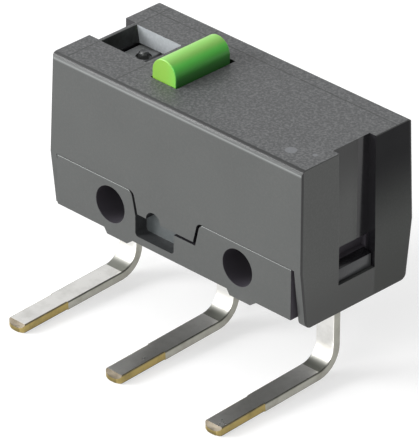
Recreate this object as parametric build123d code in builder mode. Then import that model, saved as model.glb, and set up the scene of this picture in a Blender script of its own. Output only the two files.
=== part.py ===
"""Ultra-subminiature snap-action switch with right-angle terminals.

The frame is the switch's own: X runs along the case, Y through its depth and Z up.
The origin is midway between the two mounting holes, in the middle of the case's depth.
Heights in the list of sizes are measured from the feet of the cover.
"""

import os
from math import radians, tan

from build123d import *

os.makedirs("parts", exist_ok=True)

# Case
CASE_LENGTH = 12.8
CASE_DEPTH = 5.8
CASE_HEIGHT = 6.5
CASE_DRAFT = 1.2  # degrees, on the walls above the parting line
CASE_CORNER = 0.04  # rounding of the upright corners
ROOF_EDGE = 0.20  # rounding of the long edges of the roof
HOLE_PITCH = 6.5
HOLE_DIAMETER = 1.48
HOLE_HEIGHT = 1.38
PARTING_HEIGHT = 2.40

# Walls of the cover
ROOF_WALL = 0.70
SIDE_WALL = 0.50
END_WALL = 0.76
LEG_WALL = 0.34
FOOT_DEPTH = 5.22  # the legs narrow from the case's depth to this
FOOT_CORNER = 0.30

# Clearances
SEAM_GAP = 0.03  # along the parting line
TONGUE_GAP = 0.11  # between the cover's tongues and the base
WALL_GAP = 0.08  # between the cover's walls and the base inside them
LEG_GAP = 0.14  # between the cover's right leg and the end of the base
LEFT_LEG_GAP = 0.03  # the base sits nearer to the left leg
SLOT_GAP = 0.03  # round a terminal in the base
PIN_GAP = 0.01  # round a rivet shank
RUN_GAP = 0.06  # round the plunger in the roof
REST_GAP = 0.03  # between two faces that rest on each other across a joint

# Tongue of the cover, as seen from the front
TONGUE_TOP_LEFT = -2.06
TONGUE_TOP_RIGHT = 1.22
TONGUE_FOOT_LEFT = -1.84
TONGUE_FOOT_RIGHT = 1.00
TONGUE_HEIGHT = 1.53
TONGUE_ROOT_FILLET = 0.26
TONGUE_ARCH_X = -1.04
TONGUE_ARCH_RADIUS = 0.36

# Groove and latch in each end
GROOVE_WIDTH = 1.88
GROOVE_DEPTH = 0.38
LEFT_GROOVE_DEPTH = 0.57
SILL_HEIGHT = 1.14
HOOK_INSET = 0.12  # the hook's face lies this far inside the end of the case
HOOK_FACE = 0.54
HOOK_GAP = 0.03
HOOK_SIDE_GAP = 0.06
HOOK_LEAD_IN = 0.12
HOOK_RECESS = 0.22  # the end of the base is cut back by this above its hook

# Window in the roof over the bridge of the base
WINDOW_INSET = 0.725  # from the end of the case
WINDOW_DEPTH = 1.84
WINDOW_Y = -0.05
WINDOW_CORNER = 0.04  # at the roof
WINDOW_ROOT_CORNER = 0.30  # at the underside of the roof wall
ROOF_BAR = 0.895  # between the window and the plunger's slot

# Base
BASE_HEIGHT = 0.30  # underside
PAD_HEIGHT = 0.08
PAD_XS = (-3.43, 2.86)  # left end of the foot of each pad
PAD_LENGTH = 1.03
PAD_LEFT_SLOPE = 0.15
PAD_RIGHT_SLOPE = 0.30
POCKET_RIGHT = 0.02
POCKET_HEIGHT = 0.60
POCKET_CORNER = 0.15
CHAMBER_WALL = 0.50
CHAMBER_HEIGHT = 3.40
TOWER_LENGTH = 0.56
TOWER_GAP = 0.08  # below the upper tab
BRIDGE_TOP_GAP = 0.12  # between the bridge and the roof wall
BRIDGE_GAP = 0.53  # between the bridge and the plunger's flange
BRIDGE_SLAB = 0.80
BRIDGE_CHEEK = 0.50
GATE_INSET = 0.83  # from the left end of the window
GATE_Y = 0.40
GATE_DIMPLE_RADIUS = 0.30
GATE_DIMPLE_DEPTH = 0.10
GATE_NUB_RADIUS = 0.20
GATE_NUB_HEIGHT = 0.22
GATE_NUB_CROWN = 0.12

# Plunger
PLUNGER_X = -1.785
PLUNGER_Y = -0.20
PLUNGER_WIDTH = 1.22
PLUNGER_LENGTH = 2.80
PLUNGER_PROUD = 0.92  # crown above the roof when free
PLUNGER_EDGE = 0.05
PLUNGER_SLOT_LENGTH = 3.03
PLUNGER_SLOT_Y = -0.115
FLANGE_LENGTH = 2.00
FLANGE_THICKNESS = 0.42
FLANGE_REACH = 0.30  # beyond each end of the stem
NOSE_WIDTH = 0.50
NOSE_LENGTH = 2.30

# Terminals
TERMINAL_INSET = 1.32  # from the end of the case to the middle of an outer terminal
TERMINAL_WIDTH = 0.90
TERMINAL_THICKNESS = 0.35
TERMINAL_Y = -0.03
TERMINAL_REACH = 6.05  # from the middle of the case to the tip
TERMINAL_DROP = 4.64  # from the mounting holes down to the tip
TERMINAL_BEND = 0.75  # inside radius
TERMINAL_DROOP = 2.5  # degrees below the horizontal
SHEAR_LENGTH = 2.30  # of the tip that was cut apart after plating
SHEAR_STEP = 0.04
TIP_CORNER = 0.16

# Contact system
RAIL_HEIGHT = 0.40
RISER_INSET = 0.18  # a terminal narrows by this where it enters the chamber
TERMINAL_TOP_INSET = 0.10  # the top of each terminal's leg below the floor of the base
ANCHOR_OFFSET = 0.16  # from the middle of the common terminal
ANCHOR_WIDTH = 0.46
SEAT_OFFSET = 0.765  # from the middle of the plunger
SEAT_WIDTH = 0.46
SEAT_TOP = 4.20
SEAT_BOTTOM = 3.70  # lower lip of the notch for the tip of the spring's tongue
SEAT_LIP = 4.05
NOTCH_DEPTH = 0.12
NOTCH_GAP = 0.02  # above and below the spring in the anchor's notch
ANCHOR_TOP = 4.40
SPRING_THICKNESS = 0.10
SPRING_HEIGHT = 3.95
SPRING_WIDTH = 2.20
SPRING_RAIL = 0.46
SPRING_END_BAR = 0.24
SPRING_WINDOW_END = 2.30
BOW_WIDTH = 1.00  # the tongue that bows up out of the blade's window
BOW_RISE = 0.50
BOW_TIP_HEIGHT = 3.82
BOW_TIP_GAP = 0.06  # from the tip's centreline to the bottom of its seat
SPRING_EYE_RADIUS = 0.62
CONTACT_OFFSET = 1.03  # from the middle of the terminal on the right
CONTACT_RADIUS = 0.55
CONTACT_HEAD = 0.30
CONTACT_EDGE = 0.08
CONTACT_GAP = 0.45  # between the moving contact and the lower fixed one
SHANK_RADIUS = 0.25
STAKE_RADIUS = 0.36  # the upset end of a fixed contact's shank
STAKE_HEIGHT = 0.08
TAB_WIDTH = 1.50
TAB_LENGTH = 1.30
TAB_LAP = 0.20  # of the lower tab over the end of its rail
POST_WIDTH = 0.34

# Levels in the part's frame
FOOT_Z = -HOLE_HEIGHT
ROOF_Z = FOOT_Z + CASE_HEIGHT
CEILING_Z = ROOF_Z - ROOF_WALL
PARTING_Z = FOOT_Z + PARTING_HEIGHT
TONGUE_Z = FOOT_Z + TONGUE_HEIGHT
BASE_Z = FOOT_Z + BASE_HEIGHT
FLOOR_Z = PARTING_Z - SEAM_GAP
SPRING_Z = FOOT_Z + SPRING_HEIGHT
SPRING_TOP_Z = SPRING_Z + SPRING_THICKNESS / 2
SPRING_BOTTOM_Z = SPRING_Z - SPRING_THICKNESS / 2

# Faces inside the cover and on the base
COVER_INSIDE_X = CASE_LENGTH / 2 - END_WALL
COVER_INSIDE_Y = CASE_DEPTH / 2 - SIDE_WALL
LEG_INSIDE_X = CASE_LENGTH / 2 - LEG_WALL
BASE_LEFT_X = LEFT_LEG_GAP - LEG_INSIDE_X
BASE_RIGHT_X = LEG_INSIDE_X - LEG_GAP
CORE_Y = COVER_INSIDE_Y - WALL_GAP
CORE_X = COVER_INSIDE_X - WALL_GAP
CHAMBER_Y = CORE_Y - CHAMBER_WALL
HOOK_Z = FOOT_Z + SILL_HEIGHT + HOOK_GAP
SLOT_LENGTH = PLUNGER_WIDTH + 2 * RUN_GAP
WINDOW_LEFT = WINDOW_INSET - CASE_LENGTH / 2
WINDOW_RIGHT = PLUNGER_X - SLOT_LENGTH / 2 - ROOF_BAR
BRIDGE_RIGHT = PLUNGER_X - FLANGE_LENGTH / 2 - BRIDGE_GAP

# Places and levels of the contact system
OUTER_TERMINAL_X = CASE_LENGTH / 2 - TERMINAL_INSET
ANCHOR_X = ANCHOR_OFFSET - OUTER_TERMINAL_X
SEAT_X = PLUNGER_X + SEAT_OFFSET
CONTACT_X = OUTER_TERMINAL_X - CONTACT_OFFSET
LEG_TOP_Z = FLOOR_Z - TERMINAL_TOP_INSET
RAIL_BOTTOM_Z = FLOOR_Z + SLOT_GAP
RAIL_TOP_Z = RAIL_BOTTOM_Z + RAIL_HEIGHT
LOWER_TAB_Z = SPRING_BOTTOM_Z - 2 * CONTACT_HEAD - CONTACT_GAP  # its top face
UPPER_TAB_Z = SPRING_TOP_Z + 2 * CONTACT_HEAD + REST_GAP  # its underside
TAB_LEFT_X = CONTACT_X - TAB_LENGTH / 2


def tongue_face(shoulder_z, gap, foot_z):
    """Front view of a tongue of the cover, or, with a gap, of the notch that takes it."""
    far_left = TONGUE_TOP_LEFT - gap - 2 * TONGUE_ROOT_FILLET
    far_right = TONGUE_TOP_RIGHT + gap + 2 * TONGUE_ROOT_FILLET
    left_root = (TONGUE_TOP_LEFT - gap, shoulder_z)
    right_root = (TONGUE_TOP_RIGHT + gap, shoulder_z)
    with BuildSketch() as face:
        with BuildLine():
            Polyline(
                (far_left, ROOF_Z),
                (far_left, shoulder_z),
                left_root,
                (TONGUE_FOOT_LEFT - gap, foot_z),
                (TONGUE_FOOT_RIGHT + gap, foot_z),
                right_root,
                (far_right, shoulder_z),
                (far_right, ROOF_Z),
                close=True,
            )
        make_face()
        roots = [face.vertices().sort_by_distance(root)[0] for root in (left_root, right_root)]
        fillet(roots, TONGUE_ROOT_FILLET)
        with Locations((0, shoulder_z)):
            Rectangle(CASE_LENGTH, CASE_HEIGHT, align=(Align.CENTER, Align.MAX), mode=Mode.INTERSECT)
    return face.sketch


def flange_face(with_pocket):
    """Front view of the outer layer of the base, with the notch that takes a tongue."""
    notch_z = TONGUE_Z - TONGUE_GAP
    pocket_left = TONGUE_FOOT_LEFT - TONGUE_GAP
    with BuildSketch() as face:
        with Locations((BASE_LEFT_X, BASE_Z)):
            Rectangle(BASE_RIGHT_X - BASE_LEFT_X, FLOOR_Z - BASE_Z, align=Align.MIN)
        add(tongue_face(FLOOR_Z, TONGUE_GAP, notch_z), mode=Mode.SUBTRACT)
        if with_pocket:
            pocket_z = FOOT_Z + POCKET_HEIGHT
            with Locations((pocket_left, pocket_z)):
                Rectangle(
                    POCKET_RIGHT - pocket_left,
                    TONGUE_Z - pocket_z,
                    align=(Align.MIN, Align.MIN),
                    mode=Mode.SUBTRACT,
                )
            corners = [
                face.vertices().sort_by_distance((x, pocket_z))[0]
                for x in (pocket_left, POCKET_RIGHT)
            ]
            fillet(corners, POCKET_CORNER)
    return face.sketch


# The cover's two legs, narrowing in depth down to their rounded feet.
with BuildPart() as cover_legs:
    with BuildSketch(Plane.XY.offset(PARTING_Z)):
        RectangleRounded(CASE_LENGTH, CASE_DEPTH, CASE_CORNER)
    with BuildSketch(Plane.XY.offset(FOOT_Z)):
        RectangleRounded(CASE_LENGTH, FOOT_DEPTH, CASE_CORNER)
    loft(ruled=True)
    with BuildSketch(Plane.YZ) as leg_face:
        with BuildLine():
            Polyline(
                (-CASE_DEPTH / 2, PARTING_Z),
                (CASE_DEPTH / 2, PARTING_Z),
                (FOOT_DEPTH / 2, FOOT_Z),
                (-FOOT_DEPTH / 2, FOOT_Z),
                close=True,
            )
        make_face()
        fillet(leg_face.vertices().group_by(Axis.Y)[0], FOOT_CORNER)
    extrude(amount=CASE_LENGTH, both=True, mode=Mode.INTERSECT)
    with BuildSketch(Plane.XY.offset(FOOT_Z)):
        Rectangle(2 * LEG_INSIDE_X, CASE_DEPTH)
    extrude(amount=PARTING_HEIGHT, mode=Mode.SUBTRACT)

with BuildPart() as cover:
    # Drafted block, with the long edges of its roof rounded.
    drafted = 2 * (ROOF_Z - PARTING_Z) * tan(radians(CASE_DRAFT))
    with BuildSketch(Plane.XY.offset(PARTING_Z)):
        RectangleRounded(CASE_LENGTH, CASE_DEPTH, CASE_CORNER)
    with BuildSketch(Plane.XY.offset(ROOF_Z)):
        RectangleRounded(CASE_LENGTH - drafted, CASE_DEPTH - drafted, CASE_CORNER)
    loft(ruled=True)
    with BuildSketch(Plane.YZ) as block_face:
        with BuildLine():
            Polyline(
                (-CASE_DEPTH / 2, PARTING_Z),
                (CASE_DEPTH / 2, PARTING_Z),
                ((CASE_DEPTH - drafted) / 2, ROOF_Z),
                ((drafted - CASE_DEPTH) / 2, ROOF_Z),
                close=True,
            )
        make_face()
        fillet(block_face.vertices().group_by(Axis.Y)[-1], ROOF_EDGE)
    extrude(amount=CASE_LENGTH, both=True, mode=Mode.INTERSECT)
    add(cover_legs.part)

    # Inside of the cover.
    with BuildSketch(Plane.XY.offset(PARTING_Z)):
        Rectangle(2 * COVER_INSIDE_X, 2 * COVER_INSIDE_Y)
    extrude(amount=CEILING_Z - PARTING_Z, mode=Mode.SUBTRACT)

    # A tongue at the front with its arch, and a plain one at the back.
    with BuildSketch(Plane.XZ.offset(COVER_INSIDE_Y)):
        add(tongue_face(PARTING_Z, 0, TONGUE_Z))
        with Locations((TONGUE_ARCH_X, TONGUE_Z)):
            Circle(TONGUE_ARCH_RADIUS, mode=Mode.SUBTRACT)
    extrude(amount=SIDE_WALL)
    with BuildSketch(Plane.XZ.offset(-CASE_DEPTH / 2)):
        add(tongue_face(PARTING_Z, 0, TONGUE_Z))
    extrude(amount=SIDE_WALL)

    # A groove down each end, which opens the leg below the parting line as a latch window.
    with BuildSketch(Plane.XY.offset(FOOT_Z + SILL_HEIGHT)):
        with Locations((CASE_LENGTH / 2, 0)):
            Rectangle(2 * GROOVE_DEPTH, GROOVE_WIDTH)
        with Locations((-CASE_LENGTH / 2, 0)):
            Rectangle(2 * LEFT_GROOVE_DEPTH, GROOVE_WIDTH)
    extrude(amount=CASE_HEIGHT, mode=Mode.SUBTRACT)

    # Openings in the roof: the plunger's slot, and the window over the bridge, whose corners
    # are sharp at the top and round at the bottom.
    with BuildSketch(Plane.XY.offset(CEILING_Z)):
        with Locations((PLUNGER_X, PLUNGER_SLOT_Y)):
            Rectangle(SLOT_LENGTH, PLUNGER_SLOT_LENGTH)
    extrude(amount=ROOF_WALL, mode=Mode.SUBTRACT)
    for window_z, corner in ((CEILING_Z, WINDOW_ROOT_CORNER), (ROOF_Z, WINDOW_CORNER)):
        with BuildSketch(Plane.XY.offset(window_z)):
            with Locations(((WINDOW_LEFT + WINDOW_RIGHT) / 2, WINDOW_Y)):
                RectangleRounded(WINDOW_RIGHT - WINDOW_LEFT, WINDOW_DEPTH, corner)
    loft(ruled=True, mode=Mode.SUBTRACT)

cover.part.label = "cover"
export_step(cover.part, "parts/cover.step")

with BuildPart() as base:
    # Core block between the walls of the cover, with its two outer layers.
    with BuildSketch(Plane.XY.offset(BASE_Z)):
        with Locations((BASE_LEFT_X, 0)):
            Rectangle(BASE_RIGHT_X - BASE_LEFT_X, 2 * CORE_Y, align=(Align.MIN, Align.CENTER))
    extrude(amount=FLOOR_Z - BASE_Z)
    with BuildSketch(Plane.XZ.offset(CORE_Y)):
        add(flange_face(with_pocket=True))
    extrude(amount=CASE_DEPTH / 2 - CORE_Y)
    with BuildSketch(Plane.XZ.offset(-CASE_DEPTH / 2)):
        add(flange_face(with_pocket=False))
    extrude(amount=CASE_DEPTH / 2 - CORE_Y)

    # Pads under the base, right through its depth.
    pad_z = FOOT_Z + PAD_HEIGHT
    with BuildSketch(Plane.XZ.offset(-CASE_DEPTH / 2)):
        for pad_x in PAD_XS:
            with BuildLine():
                Polyline(
                    (pad_x - PAD_LEFT_SLOPE, BASE_Z),
                    (pad_x, pad_z),
                    (pad_x + PAD_LENGTH, pad_z),
                    (pad_x + PAD_LENGTH + PAD_RIGHT_SLOPE, BASE_Z),
                    close=True,
                )
            make_face()
    extrude(amount=CASE_DEPTH)

    # Walls of the contact chamber, and the tower that backs the upper fixed contact.
    with BuildSketch(Plane.XY.offset(FLOOR_Z)):
        Rectangle(2 * CORE_X, 2 * CORE_Y)
        Rectangle(2 * CORE_X, 2 * CHAMBER_Y, mode=Mode.SUBTRACT)
    extrude(amount=FOOT_Z + CHAMBER_HEIGHT - FLOOR_Z)
    with BuildSketch(Plane.XY.offset(FLOOR_Z)):
        with Locations((CORE_X, 0)):
            Rectangle(TOWER_LENGTH, 2 * CHAMBER_Y, align=(Align.MAX, Align.CENTER))
    extrude(amount=UPPER_TAB_Z - TOWER_GAP - FLOOR_Z)

    # Bridge over the anchored end of the spring, with the stub of the moulding gate.
    bridge_top_z = CEILING_Z - BRIDGE_TOP_GAP
    bridge_length = BRIDGE_RIGHT + CORE_X
    gate = (WINDOW_LEFT + GATE_INSET, GATE_Y)
    with BuildSketch(Plane.XY.offset(FLOOR_Z)):
        with Locations((-CORE_X, 0)):
            Rectangle(bridge_length, 2 * CHAMBER_Y, align=(Align.MIN, Align.CENTER))
            Rectangle(
                bridge_length,
                2 * (CHAMBER_Y - BRIDGE_CHEEK),
                align=(Align.MIN, Align.CENTER),
                mode=Mode.SUBTRACT,
            )
    extrude(amount=bridge_top_z - FLOOR_Z)
    with BuildSketch(Plane.XY.offset(bridge_top_z - BRIDGE_SLAB)):
        with Locations((-CORE_X, 0)):
            Rectangle(bridge_length, 2 * CHAMBER_Y, align=(Align.MIN, Align.CENTER))
    extrude(amount=BRIDGE_SLAB)
    with BuildSketch(Plane.XY.offset(bridge_top_z - GATE_DIMPLE_DEPTH)):
        with Locations(gate):
            Circle(GATE_DIMPLE_RADIUS)
    extrude(amount=GATE_DIMPLE_DEPTH, mode=Mode.SUBTRACT)
    with BuildSketch(Plane.XY.offset(bridge_top_z - GATE_DIMPLE_DEPTH)):
        with Locations(gate):
            Circle(GATE_NUB_RADIUS)
    extrude(amount=GATE_DIMPLE_DEPTH + GATE_NUB_HEIGHT)
    fillet(base.faces().sort_by(Axis.Z)[-1].edges(), GATE_NUB_CROWN)

    # A hook at each end, which the cover's latch window snaps over, with a recess above it.
    hook_width = GROOVE_WIDTH - 2 * HOOK_SIDE_GAP
    hook_face_x = CASE_LENGTH / 2 - HOOK_INSET
    hook_root_x = BASE_RIGHT_X - HOOK_RECESS
    hook_top_z = HOOK_Z + HOOK_FACE + HOOK_LEAD_IN
    with BuildSketch(Plane.XY.offset(HOOK_Z)):
        Rectangle(CASE_LENGTH, GROOVE_WIDTH)
        Rectangle(2 * hook_root_x, GROOVE_WIDTH, mode=Mode.SUBTRACT)
    extrude(amount=FLOOR_Z - HOOK_Z, mode=Mode.SUBTRACT)
    with BuildSketch(Plane.XZ.offset(-hook_width / 2)):
        with BuildLine():
            Polyline(
                (hook_root_x, HOOK_Z),
                (hook_face_x, HOOK_Z),
                (hook_face_x, HOOK_Z + HOOK_FACE),
                (BASE_RIGHT_X, hook_top_z),
                (hook_root_x, hook_top_z),
                close=True,
            )
        make_face()
        mirror(about=Plane.YZ)
    extrude(amount=hook_width)

    # Slots for the three terminals.
    with BuildSketch(Plane.XY.offset(FOOT_Z)):
        with Locations((0, TERMINAL_Y)):
            with GridLocations(OUTER_TERMINAL_X, 1, 3, 1):
                Rectangle(TERMINAL_WIDTH + 2 * SLOT_GAP, TERMINAL_THICKNESS + 2 * SLOT_GAP)
    extrude(amount=PARTING_HEIGHT, mode=Mode.SUBTRACT)
    post_x = CORE_X - POST_WIDTH - SLOT_GAP
    with BuildSketch(Plane.XY.offset(FLOOR_Z)):
        with Locations((post_x, TERMINAL_Y)):
            Rectangle(
                CORE_X - post_x,
                TERMINAL_THICKNESS + 2 * SLOT_GAP,
                align=(Align.MIN, Align.CENTER),
            )
    extrude(amount=CASE_HEIGHT, mode=Mode.SUBTRACT)

    # The two mounting holes.
    with Locations(Plane.XZ.offset(CASE_DEPTH / 2)):
        with GridLocations(HOLE_PITCH, 1, 2, 1):
            Hole(HOLE_DIAMETER / 2, CASE_DEPTH)

base.part.label = "base"
export_step(base.part, "parts/base.step")

# The plunger: a D-shaped button, a flange that stops it under the roof, and a nose.
flange_top_z = CEILING_Z - REST_GAP
flange_bottom_z = flange_top_z - FLANGE_THICKNESS
with BuildPart() as plunger:
    with BuildSketch(Plane.XZ.offset(-PLUNGER_Y)):
        crown_z = ROOF_Z + PLUNGER_PROUD - PLUNGER_WIDTH / 2
        with Locations((PLUNGER_X, flange_bottom_z)):
            Rectangle(PLUNGER_WIDTH, crown_z - flange_bottom_z, align=(Align.CENTER, Align.MIN))
        with Locations((PLUNGER_X, crown_z)):
            Circle(PLUNGER_WIDTH / 2)
    extrude(amount=PLUNGER_LENGTH / 2, both=True)
    fillet(plunger.faces().filter_by(Axis.Y).edges(), PLUNGER_EDGE)
    with BuildSketch(Plane.XY.offset(flange_bottom_z)):
        with Locations((PLUNGER_X, PLUNGER_Y)):
            Rectangle(FLANGE_LENGTH, PLUNGER_LENGTH + 2 * FLANGE_REACH)
    extrude(amount=FLANGE_THICKNESS)
    with BuildSketch(Plane.XZ.offset(-TERMINAL_Y)):
        nose_z = SPRING_TOP_Z + REST_GAP + NOSE_WIDTH / 2
        with Locations((PLUNGER_X, nose_z)):
            Rectangle(NOSE_WIDTH, flange_bottom_z - nose_z, align=(Align.CENTER, Align.MIN))
            Circle(NOSE_WIDTH / 2)
    extrude(amount=NOSE_LENGTH / 2, both=True)

plunger.part.label = "plunger"
export_step(plunger.part, "parts/plunger.step")

# Where the spring ends, in the anchor's notch and in the seat.
bow_tip_x = SEAT_X + SEAT_WIDTH / 2 - NOTCH_DEPTH + BOW_TIP_GAP
spring_left_x = ANCHOR_X - ANCHOR_WIDTH / 2 + NOTCH_DEPTH - PIN_GAP - SPRING_END_BAR

# The leg shared by the three terminals, at x = 0: out of the base and bent to the front.
with BuildPart() as terminal_leg:
    with BuildLine(Plane.YZ):
        bend_z = -TERMINAL_DROP + (TERMINAL_REACH + TERMINAL_Y) * tan(radians(TERMINAL_DROOP))
        FilletPolyline(
            (TERMINAL_Y, LEG_TOP_Z),
            (TERMINAL_Y, bend_z),
            (-TERMINAL_REACH, -TERMINAL_DROP),
            radius=TERMINAL_BEND + TERMINAL_THICKNESS / 2,
        )
    with BuildSketch(Plane.XY.offset(LEG_TOP_Z)):
        with Locations((0, TERMINAL_Y)):
            Rectangle(TERMINAL_WIDTH, TERMINAL_THICKNESS)
    sweep()
    # The tip, cut apart after plating: a step narrower, with two rounded corners.
    with BuildSketch(Plane.XY.offset(-TERMINAL_DROP - TERMINAL_WIDTH)):
        with Locations((0, -TERMINAL_REACH)):
            Rectangle(2 * TERMINAL_WIDTH, 2 * SHEAR_LENGTH)
            Rectangle(
                TERMINAL_WIDTH - 2 * SHEAR_STEP,
                SHEAR_LENGTH,
                align=(Align.CENTER, Align.MIN),
                mode=Mode.SUBTRACT,
            )
    extrude(amount=2 * TERMINAL_WIDTH, mode=Mode.SUBTRACT)
    tip_corners = terminal_leg.faces().sort_by(Axis.Y)[0].edges().filter_by(Axis.Z)
    fillet(tip_corners, TIP_CORNER)

with BuildPart() as com_terminal:
    with Locations((-OUTER_TERMINAL_X, 0)):
        add(terminal_leg.part)
    with BuildSketch(Plane.XZ.offset(-TERMINAL_Y)):
        riser_x = -OUTER_TERMINAL_X - TERMINAL_WIDTH / 2 + RISER_INSET
        seat_right_x = SEAT_X + SEAT_WIDTH / 2
        anchor_left_x = ANCHOR_X - ANCHOR_WIDTH / 2
        with Locations((riser_x, LEG_TOP_Z)):
            Rectangle(TERMINAL_WIDTH - RISER_INSET, RAIL_TOP_Z - LEG_TOP_Z, align=Align.MIN)
        with Locations((riser_x, RAIL_BOTTOM_Z)):
            Rectangle(seat_right_x - riser_x, RAIL_HEIGHT, align=Align.MIN)
        with Locations((ANCHOR_X, RAIL_BOTTOM_Z)):
            Rectangle(
                ANCHOR_WIDTH,
                FOOT_Z + ANCHOR_TOP - RAIL_BOTTOM_Z,
                align=(Align.CENTER, Align.MIN),
            )
        with Locations((SEAT_X, RAIL_BOTTOM_Z)):
            Rectangle(
                SEAT_WIDTH,
                FOOT_Z + SEAT_TOP - RAIL_BOTTOM_Z,
                align=(Align.CENTER, Align.MIN),
            )
        # Notch that holds the end bar of the spring, and the seat for the tip of its tongue.
        with Locations((anchor_left_x, SPRING_Z)):
            Rectangle(
                NOTCH_DEPTH,
                SPRING_THICKNESS + 2 * NOTCH_GAP,
                align=(Align.MIN, Align.CENTER),
                mode=Mode.SUBTRACT,
            )
        with Locations((seat_right_x, FOOT_Z + SEAT_BOTTOM)):
            Rectangle(
                NOTCH_DEPTH,
                SEAT_LIP - SEAT_BOTTOM,
                align=(Align.MAX, Align.MIN),
                mode=Mode.SUBTRACT,
            )
    extrude(amount=TERMINAL_THICKNESS / 2, both=True)

com_terminal.part.label = "com_terminal"
export_step(com_terminal.part, "parts/com_terminal.step")

with BuildPart() as no_terminal:
    add(terminal_leg.part)
    with BuildSketch(Plane.XZ.offset(-TERMINAL_Y)):
        riser_x = -TERMINAL_WIDTH / 2 + RISER_INSET
        with Locations((riser_x, LEG_TOP_Z)):
            Rectangle(TERMINAL_WIDTH - RISER_INSET, RAIL_TOP_Z - LEG_TOP_Z, align=Align.MIN)
        with Locations((riser_x, RAIL_BOTTOM_Z)):
            Rectangle(TAB_LEFT_X + TAB_LAP - riser_x, RAIL_HEIGHT, align=Align.MIN)
    extrude(amount=TERMINAL_THICKNESS / 2, both=True)
    with BuildSketch(Plane.XY.offset(LOWER_TAB_Z)):
        with Locations((CONTACT_X, TERMINAL_Y)):
            Rectangle(TAB_LENGTH, TAB_WIDTH)
            Circle(SHANK_RADIUS + PIN_GAP, mode=Mode.SUBTRACT)
    extrude(amount=-TERMINAL_THICKNESS)

no_terminal.part.label = "no_terminal"
export_step(no_terminal.part, "parts/no_terminal.step")

with BuildPart() as nc_terminal:
    with Locations((OUTER_TERMINAL_X, 0)):
        add(terminal_leg.part)
    with BuildSketch(Plane.XZ.offset(-TERMINAL_Y)):
        with Locations((CORE_X, LEG_TOP_Z)):
            Rectangle(
                POST_WIDTH,
                UPPER_TAB_Z + TERMINAL_THICKNESS - LEG_TOP_Z,
                align=(Align.MAX, Align.MIN),
            )
    extrude(amount=TERMINAL_THICKNESS / 2, both=True)
    with BuildSketch(Plane.XY.offset(UPPER_TAB_Z)):
        with Locations((TAB_LEFT_X, TERMINAL_Y)):
            Rectangle(CORE_X - TAB_LEFT_X, TAB_WIDTH, align=(Align.MIN, Align.CENTER))
        with Locations((CONTACT_X, TERMINAL_Y)):
            Circle(SHANK_RADIUS + PIN_GAP, mode=Mode.SUBTRACT)
    extrude(amount=TERMINAL_THICKNESS)

nc_terminal.part.label = "nc_terminal"
export_step(nc_terminal.part, "parts/nc_terminal.step")

# The snap spring: a blade with a window, and a tongue that bows up out of the window.
with BuildSketch() as free_end:
    with Locations((SPRING_WINDOW_END, TERMINAL_Y)):
        Rectangle(SPRING_END_BAR, SPRING_WIDTH, align=(Align.MIN, Align.CENTER))
    with Locations((CONTACT_X, TERMINAL_Y)):
        Circle(SPRING_EYE_RADIUS)
    make_hull()

with BuildPart() as snap_spring:
    with BuildSketch(Plane.XY.offset(SPRING_BOTTOM_Z)):
        add(free_end.sketch)
        with Locations((spring_left_x, TERMINAL_Y)):
            Rectangle(
                SPRING_WINDOW_END - spring_left_x,
                SPRING_WIDTH,
                align=(Align.MIN, Align.CENTER),
            )
        with Locations((spring_left_x + SPRING_END_BAR, TERMINAL_Y)):
            Rectangle(
                SPRING_WINDOW_END - SPRING_END_BAR - spring_left_x,
                SPRING_WIDTH - 2 * SPRING_RAIL,
                align=(Align.MIN, Align.CENTER),
                mode=Mode.SUBTRACT,
            )
        with Locations((CONTACT_X, TERMINAL_Y)):
            Circle(SHANK_RADIUS + PIN_GAP, mode=Mode.SUBTRACT)
    extrude(amount=SPRING_THICKNESS)
    with BuildSketch(Plane.XZ.offset(-TERMINAL_Y)):
        with BuildLine():
            bow_tip_z = FOOT_Z + BOW_TIP_HEIGHT
            SagittaArc(
                (SPRING_WINDOW_END + SPRING_THICKNESS, SPRING_Z),
                (bow_tip_x, bow_tip_z),
                -BOW_RISE,
            )
        trace(line_width=SPRING_THICKNESS)
    extrude(amount=BOW_WIDTH / 2, both=True)

snap_spring.part.label = "snap_spring"
export_step(snap_spring.part, "parts/snap_spring.step")


# The moving contact: a rivet with a head on each side of the blade.
contact_spot = Plane((CONTACT_X, TERMINAL_Y, SPRING_Z))
with BuildPart() as moving_contact:
    with BuildSketch(contact_spot):
        Circle(CONTACT_RADIUS)
    extrude(amount=SPRING_THICKNESS / 2 + CONTACT_HEAD, both=True)
    fillet(moving_contact.edges(), CONTACT_EDGE)
    with BuildSketch(contact_spot):
        Circle(CONTACT_RADIUS)
        Circle(SHANK_RADIUS, mode=Mode.SUBTRACT)
    extrude(amount=SPRING_THICKNESS / 2, both=True, mode=Mode.SUBTRACT)

moving_contact.part.label = "moving_contact"
export_step(moving_contact.part, "parts/moving_contact.step")

# The fixed contacts: a head against the tab, and a shank staked on the tab's other side.
no_tab = Plane((CONTACT_X, TERMINAL_Y, LOWER_TAB_Z))
with BuildPart() as no_contact:
    with BuildSketch(no_tab):
        Circle(CONTACT_RADIUS)
    extrude(amount=CONTACT_HEAD)
    fillet(no_contact.edges().group_by(Axis.Z)[-1], CONTACT_EDGE)
    with BuildSketch(no_tab):
        Circle(SHANK_RADIUS)
    extrude(amount=-TERMINAL_THICKNESS)
    with BuildSketch(no_tab.offset(-TERMINAL_THICKNESS)):
        Circle(STAKE_RADIUS)
    extrude(amount=-STAKE_HEIGHT)

no_contact.part.label = "no_contact"
export_step(no_contact.part, "parts/no_contact.step")

with BuildPart() as nc_contact:
    mirror(no_contact.part, about=Plane.XY.offset((LOWER_TAB_Z + UPPER_TAB_Z) / 2))

nc_contact.part.label = "nc_contact"
export_step(nc_contact.part, "parts/nc_contact.step")
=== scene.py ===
"""Dressed model of an ultra-subminiature snap-action switch on a plain studio floor.

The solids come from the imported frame. Each sub-assembly below makes the visible meshes
of its own pieces, gives them their finish and hands them to the body they move with.
Lengths are in millimetres in the dataclasses and in metres in the meshes.
"""

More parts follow.
